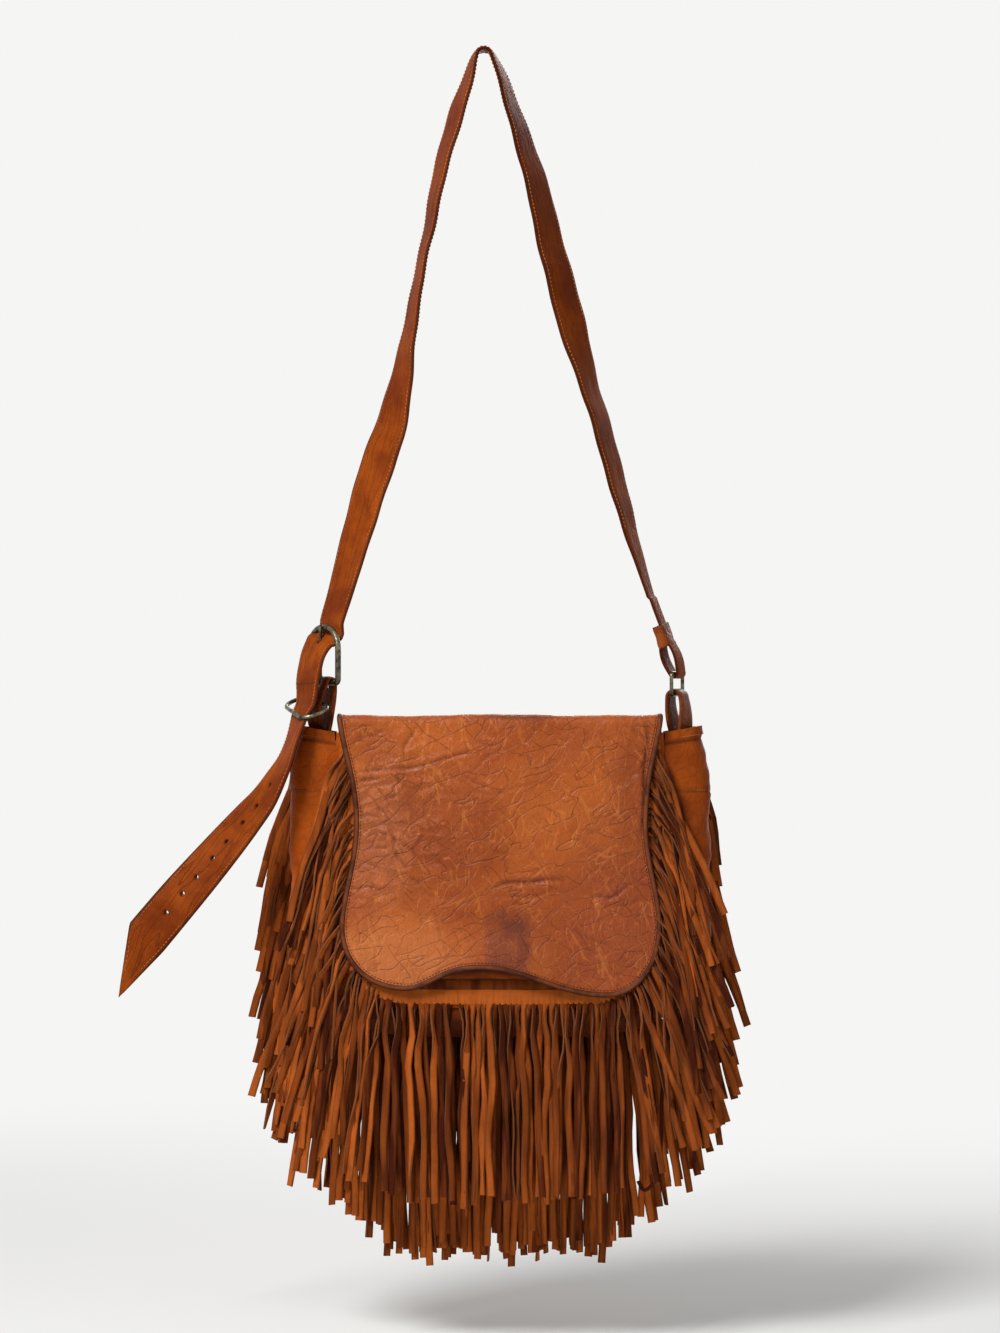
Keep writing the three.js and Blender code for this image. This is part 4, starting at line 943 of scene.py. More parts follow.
def make_fringe(settings):
    """The front fringe in two strips that meet under the flap's dip, and the longer rear one,
    which has two more layers of strands behind the first."""
    pitch = settings.pitch
    start = 2 * MM
    front_end = seam_length(FRONT_DROP) - start
    joint = seam_length(FRONT_DROP) / 2 - 37.8 * MM
    back_end = seam_length(BACK_DROP) - start
    strips = (
        ("front_fringe_left", FRONT_DROP, -1, start, joint - GAP, FRONT_STYLE, (0,)),
        ("front_fringe_right", FRONT_DROP, -1, joint, front_end, FRONT_STYLE, (0,)),
        ("back_fringe", BACK_DROP, 1, start, back_end, BACK_STYLE, (0, 2.5 * MM, 5 * MM)),
    )
    for number, (name, bottom, side, low, high, style, layers) in enumerate(strips):
        band, band_faces = make_band(bottom, side, low, high, pitch)
        points, faces, tones = [band.reshape(-1, 3)], list(band_faces), [band_tones(len(band), side)]
        cuts = [np.zeros(sum(len(f) for f in band_faces))]
        for k, depth in enumerate(layers):
            first = low + pitch * (0.5 + 0.35 * k)
            s = np.arange(first, high - pitch * 0.4, pitch)
            s = s + np.random.default_rng(40 + number * 5 + k).uniform(-0.14, 0.14, len(s)) * pitch
            strands, quads, tone, cut = make_strands(bottom, side, s, style, 11 + number * 5 + k, depth)
            faces.append(quads + sum(len(p) for p in points))
            points.append(strands)
            tones.append(tone)
            cuts.append(cut)
        strand_points = sum(len(p) for p in points[1:])
        across = np.concatenate([np.zeros(len(points[0])), np.tile([-1, 1, 1, -1], strand_points // 4)])
        made = piece(
            f"{name}_suede", np.concatenate(points), faces, MATERIALS["suede"], "suede", "bag",
            values={"tone": np.concatenate(tones), "across": across},
            face_values={"cut": np.concatenate(cuts)}, sharp=40,
        )
        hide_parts(name)
    make_curl()


def make_curl():
    """One strand of the rear fringe that has dried with its end in a hook."""
    x, drop = np.array(CURL).T * MM
    line = centripetal(world(x, 0 * x + 15 * MM, drop), np.linspace(0, len(CURL) - 1, 60))
    along = unit(np.gradient(line, axis=0))
    across = unit(FORWARD * 0.85 + np.cross(along, FORWARD) * 0.5)
    normal = np.cross(along, across)
    strip("curled_strand", line, across, normal, 3.2 * MM, STRAND_THICK, MATERIALS["suede"], "suede", "bag")


# Flap

FLAP_HALF = 146.3 * MM
FLAP_FRONT = 29.7 * MM
FOLD = 8 * MM
FOLD_ARC = FOLD * math.pi / 2
REAR_FACE = PANEL_OUT + 1 * MM
REAR_FOLD = 5 * MM
TOP_RUN = FLAP_FRONT - FOLD + REAR_FACE - REAR_FOLD
REAR_ARC = REAR_FOLD * math.pi / 2
HEM = 15 * MM
LEATHER = 2 * MM
LINING = 1.2 * MM
RIM_STEP = 1.8 * MM

# Creases: two ends on the flat leather, in mm from the middle and down the flap, bow, width and depth
CREASES = (
    ((-130, 57), (-19, 36), 3.6, 1.5, 1.3),
    ((-130, 68), (-88, 59), -2.7, 1.3, 0.9),
    ((-129, 96), (-108, 95), 0.0, 1.2, 1.0),
    ((-108, 95), (-88, 101), 1.8, 1.2, 0.6),
    ((-136, 160), (-103, 160), 0.0, 1.2, 1.0),
    ((-110, 84), (-86, 70), 1.8, 1.4, 0.9),
    ((-119, 78), (-99, 103), -2.7, 1.4, 0.9),
    ((-99, 103), (-82, 147), 2.7, 1.5, 1.0),
    ((-128, 82), (-115, 105), 1.8, 1.3, 0.7),
    ((-115, 105), (-90, 123), -1.8, 1.4, 0.8),
    ((-89, 55), (-95, 79), 0.9, 1.3, 0.7),
    ((-72, 10), (-89, 52), 2.7, 1.6, 0.7),
    ((-122, 126), (-94, 119), 1.8, 1.4, 0.8),
    ((-133, 133), (-108, 146), -1.8, 1.3, 0.7),
    ((-82, 147), (-54, 171), 1.8, 1.5, 0.6),
    ((-10, 161), (57, 154), -3.6, 1.9, 1.8),
    ((0, 168), (50, 162), 2.7, 1.5, 0.9),
    ((83, 169), (119, 157), 3.6, 1.7, 1.1),
    ((90, 177), (126, 171), 1.8, 1.5, 0.7),
    ((-27, 74), (43, 60), 5.4, 1.4, 0.5),
    ((-49, 45), (18, 81), 4.5, 1.3, 0.5),
    ((131, 11), (126, 112), -2.7, 2.0, 2.0),
    ((90, 18), (110, 81), 3.6, 1.4, 0.5),
    ((-63, 176), (-48, 225), -2.7, 1.4, 0.5),
    ((54, 198), (101, 216), -3.6, 1.4, 0.6),
    ((-104, 198), (-112, 236), 2.7, 1.3, 0.5),
    ((-130, 182), (-121, 207), 1.8, 1.2, 0.5),
    ((18, 29), (-27, 56), 2.7, 1.4, 0.5),
    ((68, 117), (119, 133), 3.6, 1.4, 0.5),
    ((-133, 29), (-97, 11), 2.7, 1.6, 0.7),
)


def flap_outline(inset=0.0):
    """The flap's outline as three lines of points, in x and z: left side, bottom, right side.
    The sides run to a waist and out to round lobes, with a dip between the lobes."""
    left, right = -FLAP_HALF + inset, FLAP_HALF - inset
    left_waist, right_waist = left + 15.5 * MM, right - 14 * MM
    left_lobe, right_lobe = left + 2.5 * MM, right - 1.25 * MM
    left_low, right_low = -247.3 * MM + inset, -253.5 * MM + inset
    dip, waist, middle = -227.7 * MM + inset, -96 * MM, -190 * MM
    left_x, dip_x, right_x = -85 * MM, -17 * MM, 96 * MM
    side = [
        bezier([(left, 0), (left + 2 * MM, waist * 0.3), (left_waist, waist * 0.6), (left_waist, waist)]),
        bezier([
            (left_waist, waist), (left_waist, mix(waist, middle, 0.4)),
            (left_lobe, mix(waist, middle, 0.72)), (left_lobe, middle),
        ]),
    ]
    left_round = bezier([
        (left_lobe, middle), (left_lobe, mix(middle, left_low, 0.6)),
        (mix(left_lobe, left_x, 0.42), left_low), (left_x, left_low),
    ], 41)
    floor = [
        bezier([
            (left_x, left_low), (mix(left_x, dip_x, 0.34), left_low),
            (mix(left_x, dip_x, 0.44), dip), (dip_x, dip),
        ]),
        bezier([
            (dip_x, dip), (mix(dip_x, right_x, 0.36), dip),
            (mix(dip_x, right_x, 0.6), right_low), (right_x, right_low),
        ]),
    ]
    right_round = bezier([
        (right_x, right_low), (mix(right_x, right_lobe, 0.57), right_low),
        (right_lobe, mix(middle, right_low, 0.57)), (right_lobe, middle),
    ], 41)
    other = [
        bezier([
            (right_lobe, middle), (right_lobe, mix(middle, waist, 0.3)),
            (right_waist, mix(middle, waist, 0.6)), (right_waist, waist),
        ]),
        bezier([
            (right_waist, waist), (right_waist, waist * 0.55), (right - 2 * MM, waist * 0.27), (right, 0),
        ]),
    ]
    left_side = np.concatenate([*side, left_round[:21]])
    bottom = np.concatenate([left_round[20:], *floor, right_round[:21]])
    right_side = np.concatenate([right_round[20:], *other])
    return left_side, bottom, right_side


def unrolled(outline):
    """An outline in x and z becomes x and the length down the leather, round the fold."""
    drop = -outline[:, 1]
    in_fold = FOLD * np.arccos(np.clip(1 - drop / FOLD, -1, 1))
    return np.stack([outline[:, 0], np.where(drop < FOLD, in_fold, drop - FOLD + FOLD_ARC)], 1)


def flap_section(s):
    """Depth, height and outward direction at a length s down the leather. 0 is where the top turns
    down at the front; below 0 it runs back over the top, round the rear and down to its hem."""
    y = np.where(s > FOLD_ARC, -FLAP_FRONT, 0.0)
    z = np.where(s > FOLD_ARC, -(s - FOLD_ARC + FOLD), 0.0)
    angle = np.clip(s / FOLD, 0, np.pi / 2)
    in_fold = (s >= 0) & (s <= FOLD_ARC)
    y = np.where(in_fold, -FLAP_FRONT + FOLD - FOLD * np.sin(angle), y)
    z = np.where(in_fold, -FOLD + FOLD * np.cos(angle), z)
    on_top = s < 0
    y = np.where(on_top, -FLAP_FRONT + FOLD - s, y)
    into = np.maximum(0, -s - TOP_RUN)
    rear = np.clip(into / REAR_FOLD, 0, np.pi / 2)
    hanging = np.maximum(0, into - REAR_ARC)
    in_rear = into > 0
    off = 1.3 * MM * smooth(hanging / (4 * MM))
    y = np.where(in_rear, REAR_FACE - REAR_FOLD + REAR_FOLD * np.sin(rear) + off, y)
    z = np.where(in_rear, -REAR_FOLD + REAR_FOLD * np.cos(rear) - hanging, z)
    ny = np.where(on_top, np.sin(rear), -np.sin(angle))
    nz = np.where(on_top, np.cos(rear), np.cos(angle))
    return y, z, ny, nz


def crease_depth(x, s):
    """Each crease is a groove along a bowed line between two ends, with a soft ridge on each side."""
    total = np.zeros_like(x)
    for start, end, bow, width, depth in CREASES:
        a, b = np.array(start) * MM, np.array(end) * MM
        along = (b - a) / np.linalg.norm(b - a)
        length = np.linalg.norm(b - a)
        u = (x - a[0]) * along[0] + (s - a[1]) * along[1]
        v = (x - a[0]) * -along[1] + (s - a[1]) * along[0]
        share = np.clip(u / length, 0, 1)
        wander = bow * MM * 4 * share * (1 - share) + 1.2 * MM * np.sin(share * 9 + bow)
        far = np.hypot(v - wander, np.maximum(0, np.maximum(-u, u - length)))
        fade = np.sqrt(np.clip(np.sin(np.pi * np.clip(share, 0.02, 0.98)), 0, 1))
        groove = bump(far, width * MM) - 0.45 * bump(far - 2.6 * width * MM, 1.6 * width * MM)
        total += depth * MM * fade * groove
    return total


def flap_height(x, s):
    """How far the leather stands out from its plain section: swells, the raised dip, and creases."""
    on_front = smooth(s / (25 * MM))
    swell = 1.5 * MM * ripple(x, s, 5, 150 * MM, 2)
    small = 0.7 * MM * ripple(x, s, 6, 42 * MM, 2) * smooth((x + 0.16) / 0.1 * -1 + 1.6)
    dip = 13 * MM * bump(x + 6 * MM, 56 * MM) * smooth((s - 185 * MM) / (58 * MM))
    round_lobes = bump(x + 95 * MM, 40 * MM) + bump(x - 100 * MM, 40 * MM)
    lobes = 2.5 * MM * round_lobes * bump(s - 215 * MM, 40 * MM)
    top = 0.8 * MM * ripple(x, 0 * x, 12, 110 * MM, 3) - 1.8 * MM * smooth(-s / (40 * MM))
    front = swell + small + dip + lobes - crease_depth(x, s)
    return on_front * front + (1 - on_front) * (top + 0.3 * swell)


def flap_place(x, s, height=0.0):
    """A place on the flap: its section at s, pushed out by the body's belly and the leather's own swell."""
    y, z, ny, nz = flap_section(s)
    front = smooth(-ny)
    stand = height + flap_height(x, s)
    y = y - belly(x, -z) * front + ny * stand
    return world(x, y, -(z + nz * stand))


def flap_grid(inset, columns=236, rows=180, top_rows=26):
    """The flat leather as a grid: plain rows over the top, then rows and columns that are blended
    from the four sides of the outline, as a Coons patch."""
    left, bottom, right = (unrolled(line) for line in flap_outline(inset))
    v = np.linspace(0, 1, rows)[:, None]
    u = np.linspace(0, 1, columns)[None]
    l, b, r = resample(left, rows), resample(bottom, columns), resample(right[::-1], rows)
    t = np.stack([mix(l[0, 0], r[0, 0], u[0]), np.zeros(columns)], 1)
    patch = np.zeros((rows, columns, 2))
    for k in (0, 1):
        sides = mix(l[:, k : k + 1], r[:, k : k + 1], u)
        ends = mix(t[None, :, k], b[None, :, k], v)
        corners = mix(mix(l[0, k], r[0, k], u), mix(l[-1, k], r[-1, k], u), v)
        patch[..., k] = sides + ends - corners
    back = -(TOP_RUN + REAR_ARC + HEM)
    over = np.linspace(back, 0, top_rows, endpoint=False)[:, None]
    top = np.stack(np.broadcast_arrays(mix(l[0, 0], r[0, 0], u), over), -1)
    return np.concatenate([top, patch])


def make_flap_plies():
    """The flap's leather and its lining, each a closed sheet on the same flat grid."""
    flat = flap_grid(1.5 * MM)
    x, s = flat[..., 0], flat[..., 1]
    for name, node_name, near, far, material, slot in (
        ("flap_hide", "flap_leather", 0, LEATHER, "flap", "flap_leather"),
        ("flap_lining_hide", "flap_lining", LEATHER + GAP, LEATHER + GAP + LINING, "flesh", "lining"),
    ):
        if node_name == "flap_lining":
            flat = flap_grid(1.5 * MM, 90, 80, 16)
            flat = flat[flat[:, 0, 1] > -(TOP_RUN + REAR_ARC + 1 * MM)]
            x, s = flat[..., 0], flat[..., 1]
        points, faces = slab(flap_place(x, s, -near), flap_place(x, s, -far))
        uv = np.concatenate([flat.reshape(-1, 2)] * 2)
        # How deep the creases are, for the painted shade in them
        crease = np.tile(np.clip(crease_depth(x, s).ravel() / MM, 0, 1), 2)
        made = piece(
            name, points, faces, MATERIALS[material], slot, None, uv=uv, values={"crease": crease}, sharp=60,
        )
        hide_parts(node_name)
        bend_at_rear(made)


def bend_at_rear(made):
    """Bakes the piece's place into its mesh; the bend where the flap leaves the back panel, behind the bag's
    top edge, is already made by flap_section.
    """
    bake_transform(made)


def flap_rim(inset=0.0):
    """The outline from the rear on the left, round the bottom, to the rear on the right,
    with the direction inwards at each point."""
    left, bottom, right = (unrolled(line) for line in flap_outline(inset))
    rear = -(TOP_RUN + REAR_ARC)
    first, last = np.array([[left[0, 0], rear]]), np.array([[right[-1, 0], rear]])
    line = np.concatenate([first, left, bottom[1:], right[1:], last])
    line = line[np.concatenate([[True], np.diff(lengths(line)) > 1e-7])]
    line = resample(line, int(lengths(line)[-1] / RIM_STEP))
    along = unit(np.gradient(line, axis=0))
    inwards = np.stack([along[:, 1], -along[:, 0]], 1)
    return line, along, inwards


def make_binding(settings):
    """A dark strip folded round the flap's edge: a section of insets and heights carried round the rim."""
    line, along, inwards = flap_rim()
    if inwards[0, 0] < 0:
        inwards = -inwards
    width = settings.binding_width
    ply = LEATHER + GAP + LINING
    under = -ply / MM
    # The section: how far in from the edge in metres, height in mm, and the share of painted highlight
    section = (
        (width, 0.25, 0.1), (width - 0.9 * MM, 0.9, 0.5), (width * 0.45, 1.25, 0.7), (0.6 * MM, 0.95, 0.4),
        (-0.5 * MM, -0.4, 0.1), (-0.7 * MM, under / 2, 0), (-0.4 * MM, under + 0.3, 0),
        (0.8 * MM, under - 0.9, 0.2), (width * 0.5, under - 1.1, 0.3), (width, under - 0.3, 0.2),
        (width, under + 0.1, 0), (1.2 * MM, under + 0.1, 0), (1.2 * MM, -0.1, 0), (width, -0.1, 0),
    )
    ridge = [polish for _, _, polish in section]
    points = np.stack([flap_place(*(line + inwards * inset).T, high * MM) for inset, high, _ in section], 1)
    count, columns = points.shape[:2]
    faces = [grid_quads(count, columns, close_columns=True)] + end_faces(count, columns)
    made = piece(
        "flap_edge_binding", points, faces, MATERIALS["binding"], "edge_binding", None,
        values={"ridge": np.tile(ridge, count)}, sharp=70,
    )
    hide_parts("flap_binding")
    bend_at_rear(made)
    # Stitches run inside the binding
    inset = width + 1.4 * MM
    places = line + inwards * inset
    places = resample(places, int(len(line) * RIM_STEP / (3.1 * MM)))
    here = flap_place(places[:, 0], places[:, 1], 0.05 * MM)
    ahead = flap_place(places[:, 0], places[:, 1], 1.05 * MM)
    normal = unit(ahead - here)
    run = unit(np.gradient(here, axis=0))
    across = unit(np.cross(normal, run))
    along = np.cross(across, normal)
    made = stitches("flap_stitches", here, along, normal, None, "dark_thread", (2.2, 0.8, 0.3))
    bend_at_rear(made)


def make_snap():
    """Each half of the snap is a profile turned about its axis, along the belly's slope."""
    x, drop, step = 6 * MM, 190 * MM, 1 * MM
    slope = (belly(x, drop - step) - belly(x, drop + step)) / (2 * step)
    out = unit(np.array([0, -1.0, -slope]))
    right = np.array([1.0, 0, 0])
    up = np.cross(out, right)
    sides = 32
    for name, body, profile in (
        ("snap_socket", "bag", ((0, 0), (7, 0), (7, 0.6), (6.2, 1.3), (3.2, 1.3), (2.6, 0.4), (0, 0.4))),
        ("snap_stud", "flap", ((0, 1.3), (7, 1.3), (7, 0.8), (6.2, 0.1), (2.4, 0.1), (1.6, -0.4), (0, -0.4))),
    ):
        low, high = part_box(name)
        centre = np.array((low + high) / 2) - out * 0.65 * MM
        angle = np.linspace(0, 2 * np.pi, sides, endpoint=False)[:, None]
        radius, rise = np.array(profile[1:-1]).T * MM
        ring = np.cos(angle)[..., None] * right + np.sin(angle)[..., None] * up
        points = centre + ring * radius[None, :, None] + out * rise[None, :, None]
        ends = centre + out * np.array([[profile[0][1]], [profile[-1][1]]]) * MM
        columns = points.shape[1]
        first = np.arange(sides) * columns
        last = first + columns - 1
        pole = np.full(sides, sides * columns)
        faces = [
            grid_quads(sides, columns, close_rows=True),
            np.stack([np.roll(first, -1), first, pole], 1),
            np.stack([last, np.roll(last, -1), pole + 1], 1),
        ]
        points = np.concatenate([points.reshape(-1, 3), ends])
        made = piece(f"{name}_brass", points, faces, MATERIALS["brass"], "aged_brass", body)
        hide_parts(name)


# Strap and what holds it

BAG = np.array([MIDDLE, 0, TOP])
HANG = 7 * MM
STRAP_THICK = 4.2 * MM
STRAP_END_THICK = 3 * MM
BUCKLE_WIRE = 2.2 * MM
BUCKLE_HALF = 24.5 * MM
BUCKLE_HEIGHT = 50 * MM
BUCKLE_CORNER = 14 * MM
RING_WIRE = 1.75 * MM
RING_HALF = 17 * MM
RING_HEIGHT = 9.75 * MM
RUNNING = 0.4 * MM
HEEL = BAG + np.array([-HALF_WIDTH - 12.1 * MM, 0, 28.6 * MM])
BUCKLE_TURN = math.radians(56)
BUCKLE_ACROSS = np.array([math.cos(BUCKLE_TURN), -math.sin(BUCKLE_TURN), 0])
BUCKLE_FRONT = np.array([-math.sin(BUCKLE_TURN), -math.cos(BUCKLE_TURN), 0])
RING_TURN = math.radians(70)
RING_CENTRE = BAG + np.array([HALF_WIDTH + 13 * MM, 0, 27.7 * MM])
RING_ACROSS = np.array([-math.cos(RING_TURN), -math.sin(RING_TURN), 0])
RING_FRONT = np.array([math.sin(RING_TURN), -math.cos(RING_TURN), 0])
RING_TOP = RING_CENTRE + UP * RING_HEIGHT

STRAP_HALF = 20 * MM
STRAP_END_HALF = 13 * MM
TAPER = 110 * MM
TIP = 57 * MM
HOLE_RADIUS = 2.1 * MM
# The plies have slipped, so a hole runs through them at a slant
HOLE_LEAN = 0.75
HOLE_PITCH = 20.8 * MM
HOLE_END = 88 * MM
HOLE_COUNT = 8
TAB_THICK = 3 * MM
TAB_SINK = MOUTH_DROP + 15 * MM

# On each leg: share of the way down, bow from the straight line in mm, turn of the face in degrees
RIGHT_LEG = (
    (0.06, 4.5, 72), (0.17, 4.8, 60), (0.3, 1.9, 52), (0.43, -1.8, 47),
    (0.53, -1.6, 64), (0.66, -2.1, 64), (0.79, -3.7, 69), (0.88, -3.2, 75),
)
LEFT_LEG = (
    (0.09, -4, 67), (0.22, -4, 72), (0.36, -0.5, 78), (0.5, 4.5, 70),
    (0.64, 8.6, 44), (0.71, 5.5, 36), (0.85, 2, 46), (0.95, 1, 54),
)
# Through the buckle: mm in front of the frame, and over the heel bar
THROUGH_BUCKLE = ((-8.3, 55), (-7.8, 47), (-2, 41), (4.5, 36), (11, 26), (15, 12.5), (17.3, 0))
# The tail: mm from the heel bar in X, Y and Z, and turn of the face in degrees
TAIL = (
    (-14.6, -10.6, -10, 59), (-15.9, -12.5, -19, 64), (-20, -16.2, -29, 68), (-27, -23, -51, 74),
    (-34.2, -26, -71, 68), (-42.3, -27, -86.4, 60), (-53.6, -28, -105.3, 51), (-68.4, -28, -123.3, 42),
    (-99, -29, -159.3, 26), (-130, -30, -195.3, 12), (-158, -30, -228.6, 4), (-194.7, -30, -272.3, 0),
)


def in_buckle(front, height):
    """A place by its mm in front of the buckle's frame and over its heel bar."""
    return HEEL + BUCKLE_FRONT * front * MM + UP * height * MM


def strap_controls():
    """The points that the strap's middle line goes through, with the turn of its face at each."""
    radius = HANG + STRAP_THICK / 2
    top = np.array([0, 0, -HANG])

    def leg(rows, side, end):
        start = np.array([side * radius, 0, -HANG])
        return [(mix(start, end, share) + np.array([bow * MM, 0, 0]), turn) for share, bow, turn in rows]

    points = leg(RIGHT_LEG, 1, RING_TOP)[::-1]
    for degrees in (10, 50, 90, 130, 170):
        a = math.radians(degrees)
        points.append((top + radius * np.array([math.cos(a), 0, math.sin(a)]), 90 - 9 * abs(math.cos(a))))
    points += leg(LEFT_LEG, -1, in_buckle(*THROUGH_BUCKLE[0]))
    points += [(in_buckle(n, t), 56) for n, t in THROUGH_BUCKLE]
    points += [(HEEL + np.array([x, y, z]) * MM, turn) for x, y, z, turn in TAIL]
    return np.array([p for p, _ in points]), np.array([t for _, t in points], float)


def strap_line():
    """Stations every few millimetres: centre, across, normal, along and length from the ring end."""
    points, turns = strap_controls()
    dense = np.linspace(0, len(points) - 1, 3000)
    line = centripetal(points, dense)
    length = lengths(line)
    at = np.linspace(0, length[-1], int(length[-1] / (3.2 * MM)))
    share = np.interp(at, length, dense)
    centre = centripetal(points, share)
    ahead = centripetal(points, np.minimum(share + 0.01, len(points) - 1))
    along = unit(ahead - centripetal(points, share - 0.01))
    turn = np.radians(np.interp(share, np.arange(len(points)), turns))
    kernel = np.hanning(15) / np.hanning(15).sum()
    turn = np.convolve(np.pad(turn, 7, mode="edge"), kernel, mode="valid")
    inward = unit(np.stack([-along[:, 2], 0 * at, along[:, 0]], 1))
    across = inward * np.cos(turn)[:, None] + FORWARD * np.sin(turn)[:, None]
    across = unit(across - along * np.sum(across * along, 1, keepdims=True))
    return centre, across, np.cross(along, across), along, at


def folded_line(centre, radius, anchor, across, anchor_across, thick, turn, bulge, short_end=1.0):
    """A strip folded round a bar: down one ply, round half a circle and back to the same anchor.
    The plies start a radius from the middle line and close up towards the anchor."""
    down = anchor - centre
    together = thick / 2 + GAP / 2

    def ply(share, sign):
        share = share[:, None]
        w = unit(mix(across, anchor_across, smooth(share / 0.6)))
        normal = unit(np.cross(w, np.broadcast_to(down, w.shape))) * turn
        offset = mix(radius, together, smooth(share)) + bulge(share, sign)
        return centre + down * share + normal * sign * offset, w, normal * sign

    steps = np.linspace(0.04, 1, 22)
    first = ply(steps[::-1] * short_end, 1)
    second = ply(steps, -1)
    side = ply(np.zeros(1), 1)[2]
    top = -down / np.linalg.norm(down)
    angle = np.linspace(0, np.pi, 13)[:, None]
    outward = side * np.cos(angle) + top * np.sin(angle)
    bend = (centre + outward * radius, np.broadcast_to(across, outward.shape), outward)
    return [np.concatenate(parts) for parts in zip(first, bend, second)]


def strip(name, centres, across, normal, half, thick, material, slot, body, groove=0.0):
    """A leather strip along a path, with its width and thickness at each station, its flat pattern
    and how near each point is to the edge."""
    count = len(centres)
    half, thick = np.broadcast_to(half, count), np.broadcast_to(thick, count)
    profile = np.stack([strip_profile(h, t, groove) for h, t in zip(half, thick)])
    points, faces = carried(centres, across, normal, profile)
    uv = np.stack([profile[..., 0], np.broadcast_to(lengths(centres)[:, None], profile.shape[:2])], -1)
    edge = np.abs(profile[..., 0]) / half[:, None]
    return piece(name, points, faces, material, slot, body, uv=uv, values={"edge": edge}, sharp=50)


def cut_away(made, cutters):
    """Cuts other closed meshes out of a piece, and takes them away again."""
    for number, (points, faces) in enumerate(cutters):
        tool = piece(f"tool_{number}", points, faces, made.data.materials[0], "suede", None)
        modifier = made.modifiers.new("cut", "BOOLEAN")
        modifier.operation = "DIFFERENCE"
        modifier.solver = "EXACT"
        modifier.object = tool
        evaluated = made.evaluated_get(bpy.context.evaluated_depsgraph_get())
        mesh = bpy.data.meshes.new_from_object(evaluated)
        made.modifiers.clear()
        made.data = mesh
        bpy.data.objects.remove(tool)


def rod(centre, axis, side, radius, length):
    """A plain round rod, used to punch holes."""
    ends = np.stack([centre - axis * length / 2, centre + axis * length / 2])
    return carried(ends, np.stack([side] * 2), np.stack([np.cross(axis, side)] * 2), turned(radius, 20))


def strap_widths(at):
    """Half width to each side, and thickness: narrow at the ring, and cut on a slant at the tip."""
    narrow = 1 - smooth(at / TAPER)
    half = mix(STRAP_HALF, STRAP_END_HALF, narrow)
    thick = mix(STRAP_THICK, STRAP_END_THICK, narrow)
    cut = np.clip(1 - (at[-1] - at) / TIP, 0, 1)
    low = -half + cut * (2 * STRAP_HALF - 5 * MM)
    high = half - 4 * MM * cut
    end = np.clip(1 - (at[-1] - at) / (8 * MM), 0, 1)
    middle = (low + high) / 2
    room = (high - low) / 2 * np.sqrt(1 - 0.85 * end**2)
    return middle, room, thick


def strap_wave(at):
    """How far the leather's face waves, at lengths along the strap."""
    return ripple(at, at * 0, 9, 90 * MM, 2) * 1.2 * MM * smooth(at / 0.1) * smooth((1.05 - at) / 0.1)


def make_strap():
    """The whole strap in one strip: folded round the ring, up one leg, over the bend, down the other,
    through the buckle and out to its pointed tail, with its holes cut through."""
    centre, across, normal, along, at = strap_line()
    middle, room, thick = strap_widths(at)
    ring_end = folded_line(
        RING_TOP, RING_WIRE + RUNNING + STRAP_END_THICK / 2, centre[0], RING_ACROSS, across[0],
        STRAP_END_THICK, 1, lambda share, sign: 2.6 * MM * np.sin(np.pi * np.minimum(1, share / 0.45)),
        46 * MM / np.linalg.norm(centre[0] - RING_TOP),
    )
    body_line = centre + across * middle[:, None]
    body_line = body_line + normal * strap_wave(at)[:, None]
    centres = np.concatenate([ring_end[0], body_line[1:]])
    acrosses = np.concatenate([ring_end[1], across[1:]])
    normals = np.concatenate([ring_end[2], normal[1:] * np.sign(np.sum(ring_end[2][-1] * normal[0]))])
    halves = np.concatenate([np.full(len(ring_end[0]), STRAP_END_HALF), room[1:]])
    thicks = np.concatenate([np.full(len(ring_end[0]), STRAP_END_THICK), thick[1:]])
    made = strip(
        "strap_hide", centres, acrosses, normals, halves, thicks,
        MATERIALS["strap"], "strap_leather", "bag", groove=0.28,
    )
    holes = []
    for i in range(HOLE_COUNT):
        where = int(np.argmin(np.abs(at - (at[-1] - HOLE_END - i * HOLE_PITCH))))
        axis = unit(normal[where] + HOLE_LEAN * along[where])
        holes.append(rod(centre[where], axis, across[where], HOLE_RADIUS, 20 * MM))
    slot = np.array([[-1.9, -1.9], [1.9, -1.9], [1.9, 1.9], [-1.9, 1.9]]) * MM
    ends = np.stack([in_buckle(4.0, 20), in_buckle(5.8, 53)])
    lean = np.stack([BUCKLE_FRONT] * 2)
    holes.append(carried(ends, np.stack([BUCKLE_ACROSS] * 2), lean, slot))
    cut_away(made, holes)
    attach(made, "bag")
    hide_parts("strap")
    strap_stitches(centre, across, normal, at, middle, room, thick)


